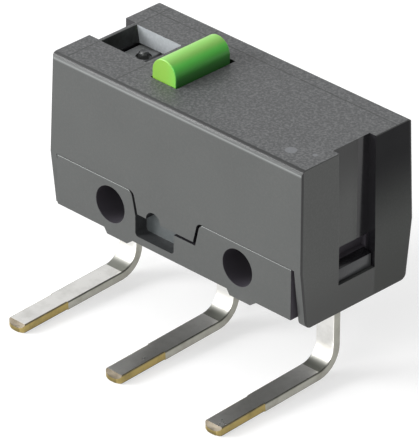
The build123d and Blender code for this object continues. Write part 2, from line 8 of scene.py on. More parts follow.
import logging
import math
from collections.abc import Sequence
from dataclasses import dataclass
from enum import Enum

import bmesh
import bpy
from mathutils import Matrix, Vector


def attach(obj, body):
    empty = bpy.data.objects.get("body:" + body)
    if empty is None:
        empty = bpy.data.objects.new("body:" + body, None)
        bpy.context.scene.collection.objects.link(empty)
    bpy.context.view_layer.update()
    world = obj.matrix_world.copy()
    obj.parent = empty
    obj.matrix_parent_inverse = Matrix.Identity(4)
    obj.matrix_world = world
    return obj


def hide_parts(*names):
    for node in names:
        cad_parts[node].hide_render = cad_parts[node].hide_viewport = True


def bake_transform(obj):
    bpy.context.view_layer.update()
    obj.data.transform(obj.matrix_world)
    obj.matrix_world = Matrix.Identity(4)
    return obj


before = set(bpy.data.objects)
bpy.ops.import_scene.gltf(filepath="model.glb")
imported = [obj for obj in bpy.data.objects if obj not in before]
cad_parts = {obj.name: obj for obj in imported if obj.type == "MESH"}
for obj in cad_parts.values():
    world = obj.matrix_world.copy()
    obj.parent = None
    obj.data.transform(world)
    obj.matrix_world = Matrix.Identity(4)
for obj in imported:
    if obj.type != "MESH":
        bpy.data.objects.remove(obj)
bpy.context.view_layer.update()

log = logging.getLogger("switch")

MM = 0.001  # metres
WELD = 0.0004  # points closer than this many millimetres are one point
FAR = 99.0  # outside the part in any direction, in millimetres
SHARP = 28.0  # an edge that turns by more than this many degrees is a sharp one
SEAM = 0.4  # one that turns by less is no edge of the part
LEVEL = 0.95  # cosine of the most that a face at an end turns away from it
WHITE = (1.0, 1.0, 1.0, 1.0)

Tree = bpy.types.NodeTree
Node = bpy.types.Node
Socket = bpy.types.NodeSocket
Material = bpy.types.Material
Object = bpy.types.Object
BMesh = bmesh.types.BMesh
Point = tuple[float, float, float]
Span = tuple[float, float]


class Body(Enum):
    """The rigid bodies of the switch, by their names in the frame."""

    HOUSING = "housing"
    BUTTON = "button"
    ARM = "contact_arm"


class Slot(Enum):
    """Material slots of the record."""

    COVER = "cover_plastic"
    BASE = "base_plastic"
    PLUNGER = "plunger_plastic"
    BRASS = "plated_brass"
    SPRING = "spring_copper"
    SILVER = "contact_silver"


class Facing(Enum):
    """Directions in which a moulded or stamped face can look."""

    LEFT = (-1.0, 0.0, 0.0)
    RIGHT = (1.0, 0.0, 0.0)
    FRONT = (0.0, -1.0, 0.0)
    BACK = (0.0, 1.0, 0.0)
    UP = (0.0, 0.0, 1.0)
    DOWN = (0.0, 0.0, -1.0)
    UP_FRONT = (0.0, -0.7071, 0.7071)
    UP_BACK = (0.0, 0.7071, 0.7071)
    UP_RIGHT = (0.7071, 0.0, 0.7071)
    UP_LEFT = (-0.7071, 0.0, 0.7071)
    DOWN_RIGHT = (0.7071, 0.0, -0.7071)
    DOWN_LEFT = (-0.7071, 0.0, -0.7071)
    RIGHT_FRONT = (0.7071, -0.7071, 0.0)
    LEFT_FRONT = (-0.7071, -0.7071, 0.0)


def linear(colour: str) -> tuple[float, float, float, float]:
    """Turn an sRGB hex colour into linear light.

    Args:
        colour: A hash and six hex digits.

    Returns:
        Red, green, blue and an alpha of 1.
    """
    levels = [int(colour[i : i + 2], 16) / 255 for i in (1, 3, 5)]
    light = [c / 12.92 if c <= 0.04045 else ((c + 0.055) / 1.055) ** 2.4 for c in levels]
    return (light[0], light[1], light[2], 1.0)


def output(source: Node | Socket) -> Socket:
    """Find the socket that a link starts from.

    Args:
        source: A socket, or a node, which stands for the first output that it has in use.

    Returns:
        The output socket.
    """
    if isinstance(source, Node):
        return next(socket for socket in source.outputs if socket.enabled)
    return source


def add_node(
    tree: Tree,
    kind: str,
    settings: dict[str | int, object] | None = None,
    links: dict[str | int, Node | Socket] | None = None,
) -> Node:
    """Add a node with its settings and its incoming links.

    Args:
        tree: The shader or geometry tree that gets the node.
        kind: The node's type name.
        settings: Socket name or number to value; a name with a leading dot is a property.
        links: Socket name or number to what feeds it.

    Returns:
        The new node.
    """
    node = tree.nodes.new(kind)
    given = settings or {}
    for key in [k for k in given if str(k).startswith(".")]:
        setattr(node, key[1:], given[key])
    for key in [k for k in given if not str(k).startswith(".")]:
        node.inputs[key].default_value = given[key]
    for key, source in (links or {}).items():
        tree.links.new(output(source), node.inputs[key])
    return node


def new_material(name: str) -> tuple[Material, Tree, Node]:
    """Make an empty node material.

    Args:
        name: The material's name.

    Returns:
        The material, its tree and its Principled shader, already linked to the output.
    """
    material = bpy.data.materials.new(name)
    material.use_nodes = True
    tree = material.node_tree
    tree.nodes.clear()
    shader = add_node(tree, "ShaderNodeBsdfPrincipled")
    add_node(tree, "ShaderNodeOutputMaterial", links={"Surface": shader})
    return material, tree, shader


def millimetres(tree: Tree) -> Node:
    """Give object coordinates in millimetres."""
    coords = add_node(tree, "ShaderNodeTexCoord")
    return add_node(
        tree,
        "ShaderNodeVectorMath",
        {".operation": "SCALE", "Scale": 1 / MM},
        {0: coords.outputs["Object"]},
    )


def line_mask(tree: Tree, value: Node | Socket, at: float, half: float, soft: float) -> Node:
    """Make a stripe that is 1 where a value is near a level and 0 elsewhere.

    Args:
        tree: The material's tree.
        value: The value that the stripe follows.
        at: Level in the middle of the stripe.
        half: Half the stripe's width.
        soft: Width of its soft border.

    Returns:
        The mask.
    """
    away = add_node(tree, "ShaderNodeMath", {".operation": "SUBTRACT", 1: at}, {0: value})
    size = add_node(tree, "ShaderNodeMath", {".operation": "ABSOLUTE"}, {0: away})
    return add_node(
        tree, "ShaderNodeMapRange", {1: half, 2: half + soft, 3: 1.0, 4: 0.0}, {0: size}
    )


@dataclass(frozen=True)
class Fade:
    """A slow change of colour along one axis of the part.

    Attributes:
        axis: 0, 1 or 2 for X, Y or Z.
        start: Where the first colour ends, in millimetres.
        end: Where the second colour begins.
        colour: The sRGB colour beyond the end.
    """

    axis: int
    start: float
    end: float
    colour: str


def faded(tree: Tree, place: Node, base: Node, fades: Sequence[Fade]) -> Node:
    """Lay slow changes of colour over a colour.

    Args:
        tree: The material's tree.
        place: Object coordinates in millimetres.
        base: The colour.
        fades: The changes, each over the one before.

    Returns:
        The changed colour.
    """
    axes = add_node(tree, "ShaderNodeSeparateXYZ", links={0: place})
    for fade in fades:
        low, high = sorted((fade.start, fade.end))
        rising = fade.end > fade.start
        share = add_node(
            tree,
            "ShaderNodeMapRange",
            {
                ".interpolation_type": "SMOOTHSTEP",
                1: low,
                2: high,
                3: float(not rising),
                4: float(rising),
            },
            {0: axes.outputs[fade.axis]},
        )
        base = add_node(
            tree,
            "ShaderNodeMix",
            {".data_type": "RGBA", 7: linear(fade.colour)},
            {0: share, 6: base},
        )
    return base


def dress(
    tree: Tree,
    shader: Node,
    colour: Node,
    clouds: Node,
    roughness: Span,
    relief: Node,
    depth: float,
) -> None:
    """Feed a shader's colour, roughness and bump.

    Args:
        tree: The material's tree.
        shader: The Principled shader.
        colour: The finished colour.
        clouds: Slow noise that the roughness follows.
        roughness: Roughness where that noise is low and where it is high.
        relief: Noise that the bump follows.
        depth: Depth of the bump in millimetres.
    """
    low, high = roughness
    rough = add_node(tree, "ShaderNodeMapRange", {1: 0.3, 2: 0.7, 3: low, 4: high}, {0: clouds})
    bump = add_node(
        tree, "ShaderNodeBump", {"Strength": 1.0, "Distance": depth * MM}, {"Height": relief}
    )
    for name, source in (("Base Color", colour), ("Roughness", rough), ("Normal", bump)):
        tree.links.new(output(source), shader.inputs[name])


@dataclass(frozen=True)
class MouldedPlastic:
    """Glass-filled black PBT, as its mould left it.

    A spark-eroded mould wall leaves fine pits that scatter the light, so the black resin looks mid
    grey and faintly speckled. A polished wall leaves the resin black and glossy. The near-black
    finishes made from this class are painted shade, and the palest ones painted light.

    Attributes:
        name: What the material and its surface are.
        colour: sRGB colour of the surface.
        speck: sRGB colour of the brighter specks.
        roughness: Mean roughness.
        pit: Size of the texture in millimetres.
        depth: Its depth in millimetres.
        fades: Slow changes of colour along the surface; on the case they are mostly painted light
            and shade.
        gloss: Specular level; a matt skin on the resin has less than the usual 0.5.
    """

    name: str
    colour: str
    speck: str
    roughness: float
    pit: float
    depth: float
    fades: tuple[Fade, ...] = ()
    gloss: float = 0.5

    def marks(self, tree: Tree, place: Node, ground: Node) -> Node:
        """Draw the marks that the mould left on top of the texture; none here.

        Args:
            tree: The material's tree; not used here.
            place: Object coordinates in millimetres; not used here.
            ground: The textured colour.

        Returns:
            The marked colour.
        """
        return ground

    def build(self) -> Material:
        """Make the material."""
        material, tree, shader = new_material(self.name)
        shader.inputs["Specular IOR Level"].default_value = self.gloss
        place = millimetres(tree)
        pits = add_node(
            tree,
            "ShaderNodeTexNoise",
            {"Scale": 1 / self.pit, "Detail": 2.0, "Roughness": 0.65},
            {0: place},
        )
        flow = add_node(tree, "ShaderNodeTexNoise", {"Scale": 0.35, "Detail": 3.0}, {0: place})
        glint = add_node(tree, "ShaderNodeMapRange", {1: 0.42, 2: 0.72}, {0: pits})
        specked = add_node(
            tree,
            "ShaderNodeMix",
            {".data_type": "RGBA", 6: linear(self.colour), 7: linear(self.speck)},
            {0: glint},
        )
        base = faded(tree, place, specked, self.fades)
        clouds = add_node(
            tree, "ShaderNodeMapRange", {1: 0.3, 2: 0.7, 3: 0.94, 4: 1.06}, {0: flow}
        )
        shaded = add_node(
            tree, "ShaderNodeVectorMath", {".operation": "SCALE"}, {0: base, "Scale": clouds}
        )
        rough = (self.roughness * 0.9, self.roughness * 1.1)
        colour = self.marks(tree, place, shaded)
        dress(tree, shader, colour, flow, rough, pits, self.depth)
        return material


@dataclass(frozen=True)
class RoofPlastic(MouldedPlastic):
    """The eroded roof, with the marks of its mould and a painted shade line along its front edge.

    Attributes:
        line: sRGB colour of the dark lines.
        edge_y: Middle of the painted shade line along the front edge.
        edge_half: Half its width.
        seam_x: Witness lines of mould inserts across the roof.
        seam_y: Witness line of an insert along the roof.
        seam_half: Half the width of a witness line.
        seam_share: How strongly the witness lines show.
        soft: Width of the soft border of all marks.
        rim: How far inside its radius the border of an ejector mark begins.
        disc: sRGB colour of the ejector marks, which are smoother than the texture.
        pins: Place and radius of the ejector marks.
    """

    line: str = "#242625"
    edge_y: float = -2.69
    edge_half: float = 0.02
    seam_x: Span = (-5.70, -3.20)
    seam_y: float = 2.08
    seam_half: float = 0.015
    seam_share: float = 0.6
    soft: float = 0.03
    rim: float = 0.02
    disc: str = "#6d6f72"
    pins: tuple[Point, ...] = ((4.93, -1.95, 0.23), (5.78, -1.61, 0.10))

    def marks(self, tree: Tree, place: Node, ground: Node) -> Node:
        """Draw the painted shade line, the witness lines and the ejector marks."""
        axes = add_node(tree, "ShaderNodeSeparateXYZ", links={0: place}).outputs
        dark = line_mask(tree, axes[1], self.edge_y, self.edge_half, self.soft)
        for axis, at in [*((0, x) for x in self.seam_x), (1, self.seam_y)]:
            seam = line_mask(tree, axes[axis], at, self.seam_half, self.soft)
            faint = add_node(
                tree, "ShaderNodeMath", {".operation": "MULTIPLY", 1: self.seam_share}, {0: seam}
            )
            dark = add_node(tree, "ShaderNodeMath", {".operation": "MAXIMUM"}, {0: dark, 1: faint})
        colour = add_node(
            tree,
            "ShaderNodeMix",
            {".data_type": "RGBA", 7: linear(self.line)},
            {0: dark, 6: ground},
        )
        for x, y, radius in self.pins:
            offset = add_node(
                tree, "ShaderNodeVectorMath", {".operation": "SUBTRACT", 1: (x, y, 0)}, {0: place}
            )
            flat = add_node(
                tree, "ShaderNodeVectorMath", {".operation": "MULTIPLY", 1: (1, 1, 0)}, {0: offset}
            )
            away = add_node(tree, "ShaderNodeVectorMath", {".operation": "LENGTH"}, {0: flat})
            inside = line_mask(tree, away, 0.0, radius - self.rim, self.soft)
            colour = add_node(
                tree,
                "ShaderNodeMix",
                {".data_type": "RGBA", 7: linear(self.disc)},
                {0: inside, 6: colour},
            )
        return colour


@dataclass(frozen=True)
class Acetal:
    """Green acetal (POM), moulded semi-gloss: a waxy sheen over a slightly cloudy green.

    Attributes:
        name: What the material is.
        colour: sRGB colour of the body.
        pale: sRGB colour of the cloudier parts.
        fades: Slow changes of colour, which paint light and shade on the part.
        roughness: Roughness of the clearer and of the cloudier parts.
        ripple: Length of the moulding ripples in millimetres.
        depth: Their depth.
    """

    name: str
    colour: str
    pale: str
    fades: tuple[Fade, ...]
    roughness: Span = (0.27, 0.40)
    ripple: float = 0.25
    depth: float = 0.006

    def build(self) -> Material:
        """Make the material."""
        material, tree, shader = new_material(self.name)
        place = millimetres(tree)
        cloud = add_node(tree, "ShaderNodeTexNoise", {"Scale": 1.1, "Detail": 4.0}, {0: place})
        mixed = add_node(
            tree,
            "ShaderNodeMix",
            {".data_type": "RGBA", 6: linear(self.colour), 7: linear(self.pale)},
            {0: cloud},
        )
        colour = faded(tree, place, mixed, self.fades)
        ripples = add_node(
            tree, "ShaderNodeTexNoise", {"Scale": 1 / self.ripple, "Detail": 2.0}, {0: place}
        )
        dress(tree, shader, colour, cloud, self.roughness, ripples, self.depth)
        return material


@dataclass(frozen=True)
class StripMetal:
    """Metal strip as the rolls, the die or the plating bath left it.

    Fine lines run one way: along a rolled face, across a sheared edge. They stretch the
    reflections and keep the metal from looking like a mirror.

    Attributes:
        name: What the metal and its surface are.
        colour: sRGB colour of the metal.
        stain: sRGB colour of the duller patches.
        roughness: Mean roughness.
        lines: Spacing of the lines along X, Y and Z in millimetres; a large value is along them.
        depth: Depth of the lines in millimetres.
        fades: Slow changes of colour, such as the painted reflection of the dark body inside a
            bend.
    """

    name: str
    colour: str
    stain: str
    roughness: float
    lines: Point
    depth: float = 0.00015
    fades: tuple[Fade, ...] = ()

    def build(self) -> Material:
        """Make the material."""
        material, tree, shader = new_material(self.name)
        shader.inputs["Metallic"].default_value = 1.0
        place = millimetres(tree)
        stretched = add_node(
            tree,
            "ShaderNodeVectorMath",
            {".operation": "MULTIPLY", 1: tuple(1 / step for step in self.lines)},
            {0: place},
        )
        brushed, patches = (
            add_node(
                tree,
                "ShaderNodeTexNoise",
                {"Scale": scale, "Detail": detail, "Roughness": 0.6},
                {0: source},
            )
            for scale, detail, source in ((1.0, 3.0, stretched), (1.4, 4.0, place))
        )
        spread = add_node(tree, "ShaderNodeMapRange", {1: 0.45, 2: 0.75}, {0: patches})
        mixed = add_node(
            tree,
            "ShaderNodeMix",
            {".data_type": "RGBA", 6: linear(self.colour), 7: linear(self.stain)},
            {0: spread},
        )
        rough = (self.roughness * 0.9, self.roughness * 1.15)
        colour = faded(tree, place, mixed, self.fades)
        dress(tree, shader, colour, patches, rough, brushed, self.depth)
        return material


def plain_mesh(name: str, bm: BMesh, *materials: Material) -> Object:
    """Turn a bmesh into a shown object at the origin.

    Args:
        name: The object's name.
        bm: The mesh, in metres; it is freed.
        materials: The finishes; the first one is on all faces that name no other.

    Returns:
        The linked object.
    """
    bmesh.ops.recalc_face_normals(bm, faces=bm.faces)
    data = bpy.data.meshes.new(name)
    bm.to_mesh(data)
    bm.free()
    for material in materials:
        data.materials.append(material)
    return linked(name, data)


def linked(name: str, data: bpy.types.ID) -> Object:
    """Put an object with this name and data into the scene."""
    obj = bpy.data.objects.new(name, data)
    bpy.context.scene.collection.objects.link(obj)
    return obj


def evaluated(obj: Object) -> Object:
    """Turn an object's modifiers into plain mesh.

    Args:
        obj: The object, which keeps its name and place.

    Returns:
        The same object without modifiers.
    """
    graph = bpy.context.evaluated_depsgraph_get()
    graph.update()
    data = bpy.data.meshes.new_from_object(obj.evaluated_get(graph), depsgraph=graph)
    obj.modifiers.clear()
    old = obj.data
    obj.data = data
    bpy.data.meshes.remove(old)
    data.name = obj.name
    return obj


def smoothed(obj: Object) -> Object:
    """Shade curved faces smooth and keep flat faces flat.

    Args:
        obj: The piece.

    Returns:
        The piece without modifiers.
    """
    for polygon in obj.data.polygons:
        polygon.use_smooth = True
    obj.data.set_sharp_from_angle(angle=math.radians(SHARP))
    level = obj.modifiers.new("flat faces", "WEIGHTED_NORMAL")
    level.keep_sharp = True
    return evaluated(obj)


def eased_mesh(node: str, width: float) -> BMesh:
    """Copy a node's mesh with its sharp edges rounded.

    Args:
        node: The node's name.
        width: Width of the rounding in millimetres.

    Returns:
        The mesh, which the caller frees.
    """
    bm = bmesh.new()
    bm.from_mesh(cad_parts[node].data)
    bmesh.ops.remove_doubles(bm, verts=bm.verts, dist=WELD * MM)
    bmesh.ops.dissolve_limit(
        bm, angle_limit=math.radians(SEAM), verts=bm.verts, edges=bm.edges, delimit={"NORMAL"}
    )
    limit = math.radians(SHARP)
    bmesh.ops.bevel(
        bm,
        geom=[e for e in bm.edges if e.is_manifold and e.calc_face_angle(0.0) > limit],
        offset=width * MM,
        offset_type="OFFSET",
        segments=2,
        profile=0.5,
        affect="EDGES",
        clamp_overlap=True,
        harden_normals=False,
    )
    # Where three roundings meet, the bevel can leave a face of no width.
    bmesh.ops.remove_doubles(bm, verts=bm.verts, dist=WELD * MM)
    return bm


def end_faces(bm: BMesh, facing: Facing, beyond: float) -> list[bmesh.types.BMFace]:
    """Find the faces at one end of a piece.

    Args:
        bm: The mesh.
        facing: Where the faces look.
        beyond: Least distance of their middles from the middle of the part in millimetres.

    Returns:
        The faces.
    """
    way = Vector(facing.value)
    return [
        f
        for f in bm.faces
        if f.normal.dot(way) > LEVEL and f.calc_center_median().dot(way) > beyond * MM
    ]


def split_faces(bm: BMesh, facing: Facing, beyond: float, at_y: float, half: float = FAR) -> None:
    """Cut the faces at one end of a piece along a level line, for finishes that meet there.

    Args:
        bm: The mesh.
        facing: Where the faces look.
        beyond: Least distance of the faces from the middle of the part in millimetres.
        at_y: Y of the cut.
        half: Greatest distance of the middle of a face from the part's middle plane.
    """
    faces = [
        f for f in end_faces(bm, facing, beyond) if abs(f.calc_center_median().y) < half * MM
    ]
    edges = {e for f in faces for e in f.edges}
    verts = {v for f in faces for v in f.verts}
    bmesh.ops.bisect_plane(
        bm,
        geom=[*verts, *edges, *faces],
        plane_co=Vector((0, at_y * MM, 0)),
        plane_no=Vector((0, 1, 0)),
    )


def frame_faces(bm: BMesh, facing: Facing, beyond: float, width: float, clear_y: float) -> None:
    """Set off a narrow border round the outside of an end face, as the second finish.

    Args:
        bm: The mesh.
        facing: Where the end face looks.
        beyond: Least distance of its middle from the middle of the part in millimetres.
        width: Width of the border.
        clear_y: The border is marked only farther than this from the part's middle plane,
            along the roof and along the foot.
    """
    small = MM * MM
    faces = [f for f in end_faces(bm, facing, beyond) if f.calc_area() > small]
    heights = [v.co.z for f in faces for v in f.verts]
    low, high = min(heights) + 2 * width * MM, max(heights) - 2 * width * MM
    rim = bmesh.ops.inset_region(bm, faces=faces, thickness=width * MM, use_even_offset=True)
    for face in rim["faces"]:
        middle = face.calc_center_median()
        face.material_index = int(abs(middle.y) > clear_y * MM or not low <= middle.z <= high)


def cut_away(bm: BMesh, at: Point, toward: Vector) -> None:
    """Cut off what lies on one side of a plane and close the cut.

    Args:
        bm: The mesh.
        at: A point of the plane in millimetres.
        toward: Direction of the side that goes.
    """
    bmesh.ops.bisect_plane(
        bm,
        geom=bm.verts[:] + bm.edges[:] + bm.faces[:],
        plane_co=Vector([v * MM for v in at]),
        plane_no=toward,
        clear_outer=True,
    )
    bmesh.ops.holes_fill(bm, edges=[e for e in bm.edges if e.is_boundary], sides=0)


@dataclass(frozen=True)
class Patch:
    """A part of a piece's surface that has its own finish.

    Attributes:
        finish: The patch's material.
        facing: The directions in which its faces look; any direction if empty.
        x: Between which X the middles of its faces lie, in millimetres.
        y: Between which Y.
        z: Between which Z.
        spread: How far a face may turn away from its direction, in degrees.
    """

    finish: Material
    facing: tuple[Facing, ...] = ()
    x: Span = (-FAR, FAR)
    y: Span = (-FAR, FAR)
    z: Span = (-FAR, FAR)
    spread: float = 30.0

    def holds(self, middle: Vector, normal: Vector) -> bool:
        """Tell whether a face belongs to the patch.

        Args:
            middle: The middle of the face in millimetres.
            normal: Its outward direction.

        Returns:
            True inside the box and within the spread of one of the directions.
        """
        spans = (self.x, self.y, self.z)
        if not all(low <= m <= high for (low, high), m in zip(spans, middle)):
            return False
        limit = math.cos(math.radians(self.spread))
        return not self.facing or any(normal.dot(Vector(f.value)) > limit for f in self.facing)


def paint(obj: Object, patches: list[Patch]) -> Object:
    """Give each face the finish of the first patch that holds it.

    Args:
        obj: The piece; faces outside all patches, and faces marked before, keep their finish.
        patches: The patches, the narrowest first.

    Returns:
        The piece.
    """
    data = obj.data
    for patch in patches:
        if patch.finish.name not in data.materials:
            data.materials.append(patch.finish)
    for polygon in [p for p in data.polygons if p.material_index == 0]:
        middle = polygon.center / MM
        for patch in patches:
            if patch.holds(middle, polygon.normal):
                polygon.material_index = data.materials.find(patch.finish.name)
                break
    return obj


def hand_over(obj: Object, body: Body, slot: Slot, *nodes: str) -> Object:
    """Give a finished piece to the body it moves with.

    Args:
        obj: The piece.
        body: The body.
        slot: The record's material slot; not used.
        nodes: Nodes of the frame that the piece stands for.

    Returns:
        The piece.
    """
    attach(obj, body.value)
    if nodes:
        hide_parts(*nodes)
    log.info("%s: %d faces on %s", obj.name, len(obj.data.polygons), body.value)
    return obj


def joined(name: str, *pieces: Object) -> Object:
    """Make one piece of several meshes that have the same finish.

    Args:
        name: The new piece's name.
        pieces: The objects, which are removed.

    Returns:
        The linked piece.
    """
    bm = bmesh.new()
    finish = pieces[0].data.materials[0]
    for piece in pieces:
        bm.from_mesh(piece.data)
        bpy.data.objects.remove(piece)
    return plain_mesh(name, bm, finish)


def quarter(steps: int) -> list[Span]:
    """Walk a quarter turn in even steps.

    Args:
        steps: How many.

    Returns:
        The sine and the cosine at the start and after each step.
    """
    turns = [math.radians(90 * step / steps) for step in range(steps + 1)]
    return [(math.sin(turn), math.cos(turn)) for turn in turns]


@dataclass(frozen=True)
class SweptStrip:
    """A strip or a turned pin that follows a path, made by one tree of geometry nodes.

    The path's corner points and the profile's size at each of them are the tree's mesh
    input; the tree rounds the corners, runs the profile along the path and closes the ends.

    Attributes:
        name: The piece's name.
        path: Corner points of the middle line in millimetres.
        width: Width of the strip, which stays level, or diameter of a turned pin.
        thickness: Thickness of the strip; a turned pin has none.
        bend: Radius of the middle line in the corners.
        edge: Rounding along the strip's edges.
        waist: The profile's size at each corner point, as a share of its full size.
        pieces: Length of the pieces that the strip is divided into, or nothing.
    """

    name: str
    path: Sequence[Point]
    width: float
    thickness: float = 0.0
    bend: float = 0.0
    edge: float = 0.015
    waist: Sequence[float] = ()
    pieces: float = 0.0

    def inputs(self, material: Material) -> dict[str, tuple[str, object]]:
        """List the tree's inputs.

        Args:
            material: The finish.

        Returns:
            Name to socket type and value, in the order of the interface.
        """
        sizes = {
            "Width": self.width,
            "Thickness": self.thickness,
            "Bend radius": self.bend,
            "Edge radius": self.edge,
            "Piece length": self.pieces,
        }
        named = {label: ("NodeSocketFloat", size * MM) for label, size in sizes.items()}
        return {**named, "Finish": ("NodeSocketMaterial", material)}

    def strip(self, tree: Tree, given: Sequence[Socket], line: Node, size: Node) -> Node:
        """Run the outline of a strip along the path and narrow it level by the waist.

        Args:
            tree: The tree.
            given: The tree's inputs.
            line: The path.
            size: The waist.

        Returns:
            The closed strip.
        """
        outline = add_node(
            tree,
            "GeometryNodeCurvePrimitiveQuadrilateral",
            links={"Width": given["Width"], "Height": given["Thickness"]},
        )
        profile = add_node(
            tree,
            "GeometryNodeFilletCurve",
            {".mode": "POLY", "Count": 2, "Limit Radius": True},
            {0: outline, "Radius": given["Edge radius"]},
        )
        body = add_node(
            tree,
            "GeometryNodeCurveToMesh",
            {"Fill Caps": True},
            {"Curve": line, "Profile Curve": profile},
        )
        middle = add_node(
            tree, "GeometryNodeInputNamedAttribute", {".data_type": "FLOAT", "Name": "middle"}
        )
        position = add_node(tree, "GeometryNodeInputPosition")
        across = add_node(tree, "ShaderNodeSeparateXYZ", links={0: position})
        side = add_node(tree, "ShaderNodeMath", {".operation": "SUBTRACT"}, {0: across, 1: middle})
        less = add_node(tree, "ShaderNodeMath", {".operation": "SUBTRACT", 1: 1.0}, {0: size})
        shift = add_node(tree, "ShaderNodeMath", {".operation": "MULTIPLY"}, {0: side, 1: less})
        offset = add_node(tree, "ShaderNodeCombineXYZ", links={0: shift})
        return add_node(tree, "GeometryNodeSetPosition", links={0: body, "Offset": offset})

    def pin(self, tree: Tree, given: Sequence[Socket], line: Node, size: Node) -> Node:
        """Run a circle along the path and scale it by the waist.

        Args:
            tree: The tree.
            given: The tree's inputs.
            line: The path.
            size: The waist.

        Returns:
            The closed pin.
        """
        radius = add_node(
            tree, "ShaderNodeMath", {".operation": "MULTIPLY", 1: 0.5}, {0: given["Width"]}
        )
        circle = add_node(
            tree, "GeometryNodeCurvePrimitiveCircle", {"Resolution": 40}, {"Radius": radius}
        )
        return add_node(
            tree,
            "GeometryNodeCurveToMesh",
            {"Fill Caps": True},
            {"Curve": line, "Profile Curve": circle, "Scale": size},
        )

    def tree(self, inputs: dict[str, tuple[str, object]]) -> Tree:
        """Build the tree.

        Args:
            inputs: Its inputs beside the path.

        Returns:
            The tree.
        """
        tree = bpy.data.node_groups.new(self.name + "_sweep", "GeometryNodeTree")
        shape = "NodeSocketGeometry"
        kinds = {"Path": shape, **{label: kind for label, (kind, _value) in inputs.items()}}
        for label, kind in kinds.items():
            tree.interface.new_socket(label, in_out="INPUT", socket_type=kind)
        tree.interface.new_socket("Piece", in_out="OUTPUT", socket_type=shape)
        given = add_node(tree, "NodeGroupInput").outputs
        line = add_node(tree, "GeometryNodeMeshToCurve", links={0: given["Path"]})
        if self.bend:
            line = add_node(
                tree,
                "GeometryNodeFilletCurve",
                {".mode": "POLY", "Count": 7, "Limit Radius": True},
                {0: line, "Radius": given["Bend radius"]},
            )
        if self.pieces:
            line = add_node(
                tree,
                "GeometryNodeResampleCurve",
                {".mode": "LENGTH"},
                {0: line, "Length": given["Piece length"]},
            )
        size = add_node(
            tree, "GeometryNodeInputNamedAttribute", {".data_type": "FLOAT", "Name": "waist"}
        )
        sweep = self.strip if self.thickness else self.pin
        real = add_node(
            tree, "GeometryNodeRealizeInstances", links={0: sweep(tree, given, line, size)}
        )
        # The fillet sets all its points on one spot where the path runs straight.
        welded = add_node(
            tree, "GeometryNodeMergeByDistance", {"Distance": WELD * MM}, {0: real}
        )
        dressed = add_node(
            tree, "GeometryNodeSetMaterial", links={0: welded, "Material": given["Finish"]}
        )
        add_node(tree, "NodeGroupOutput", links={0: dressed})
        return tree

    def build(self, material: Material) -> Object:
        """Make the piece as a plain mesh.

        Args:
            material: The finish.

        Returns:
            The object.
        """
        data = bpy.data.meshes.new(self.name)
        points = [tuple(v * MM for v in point) for point in self.path]
        data.from_pydata(points, [(i, i + 1) for i in range(len(points) - 1)], [])
        waist = self.waist or [1.0] * len(points)
        for label, values in (("waist", waist), ("middle", [point[0] for point in points])):
            data.attributes.new(label, "FLOAT", "POINT").data.foreach_set("value", values)
        obj = linked(self.name, data)
        inputs = self.inputs(material)
        sweep = obj.modifiers.new("sweep", "NODES")
        sweep.node_group = self.tree(inputs)
        for socket in sweep.node_group.interface.items_tree:
            if socket.in_out == "INPUT" and socket.name in inputs:
                sweep[socket.identifier] = inputs[socket.name][1]
        return evaluated(obj)


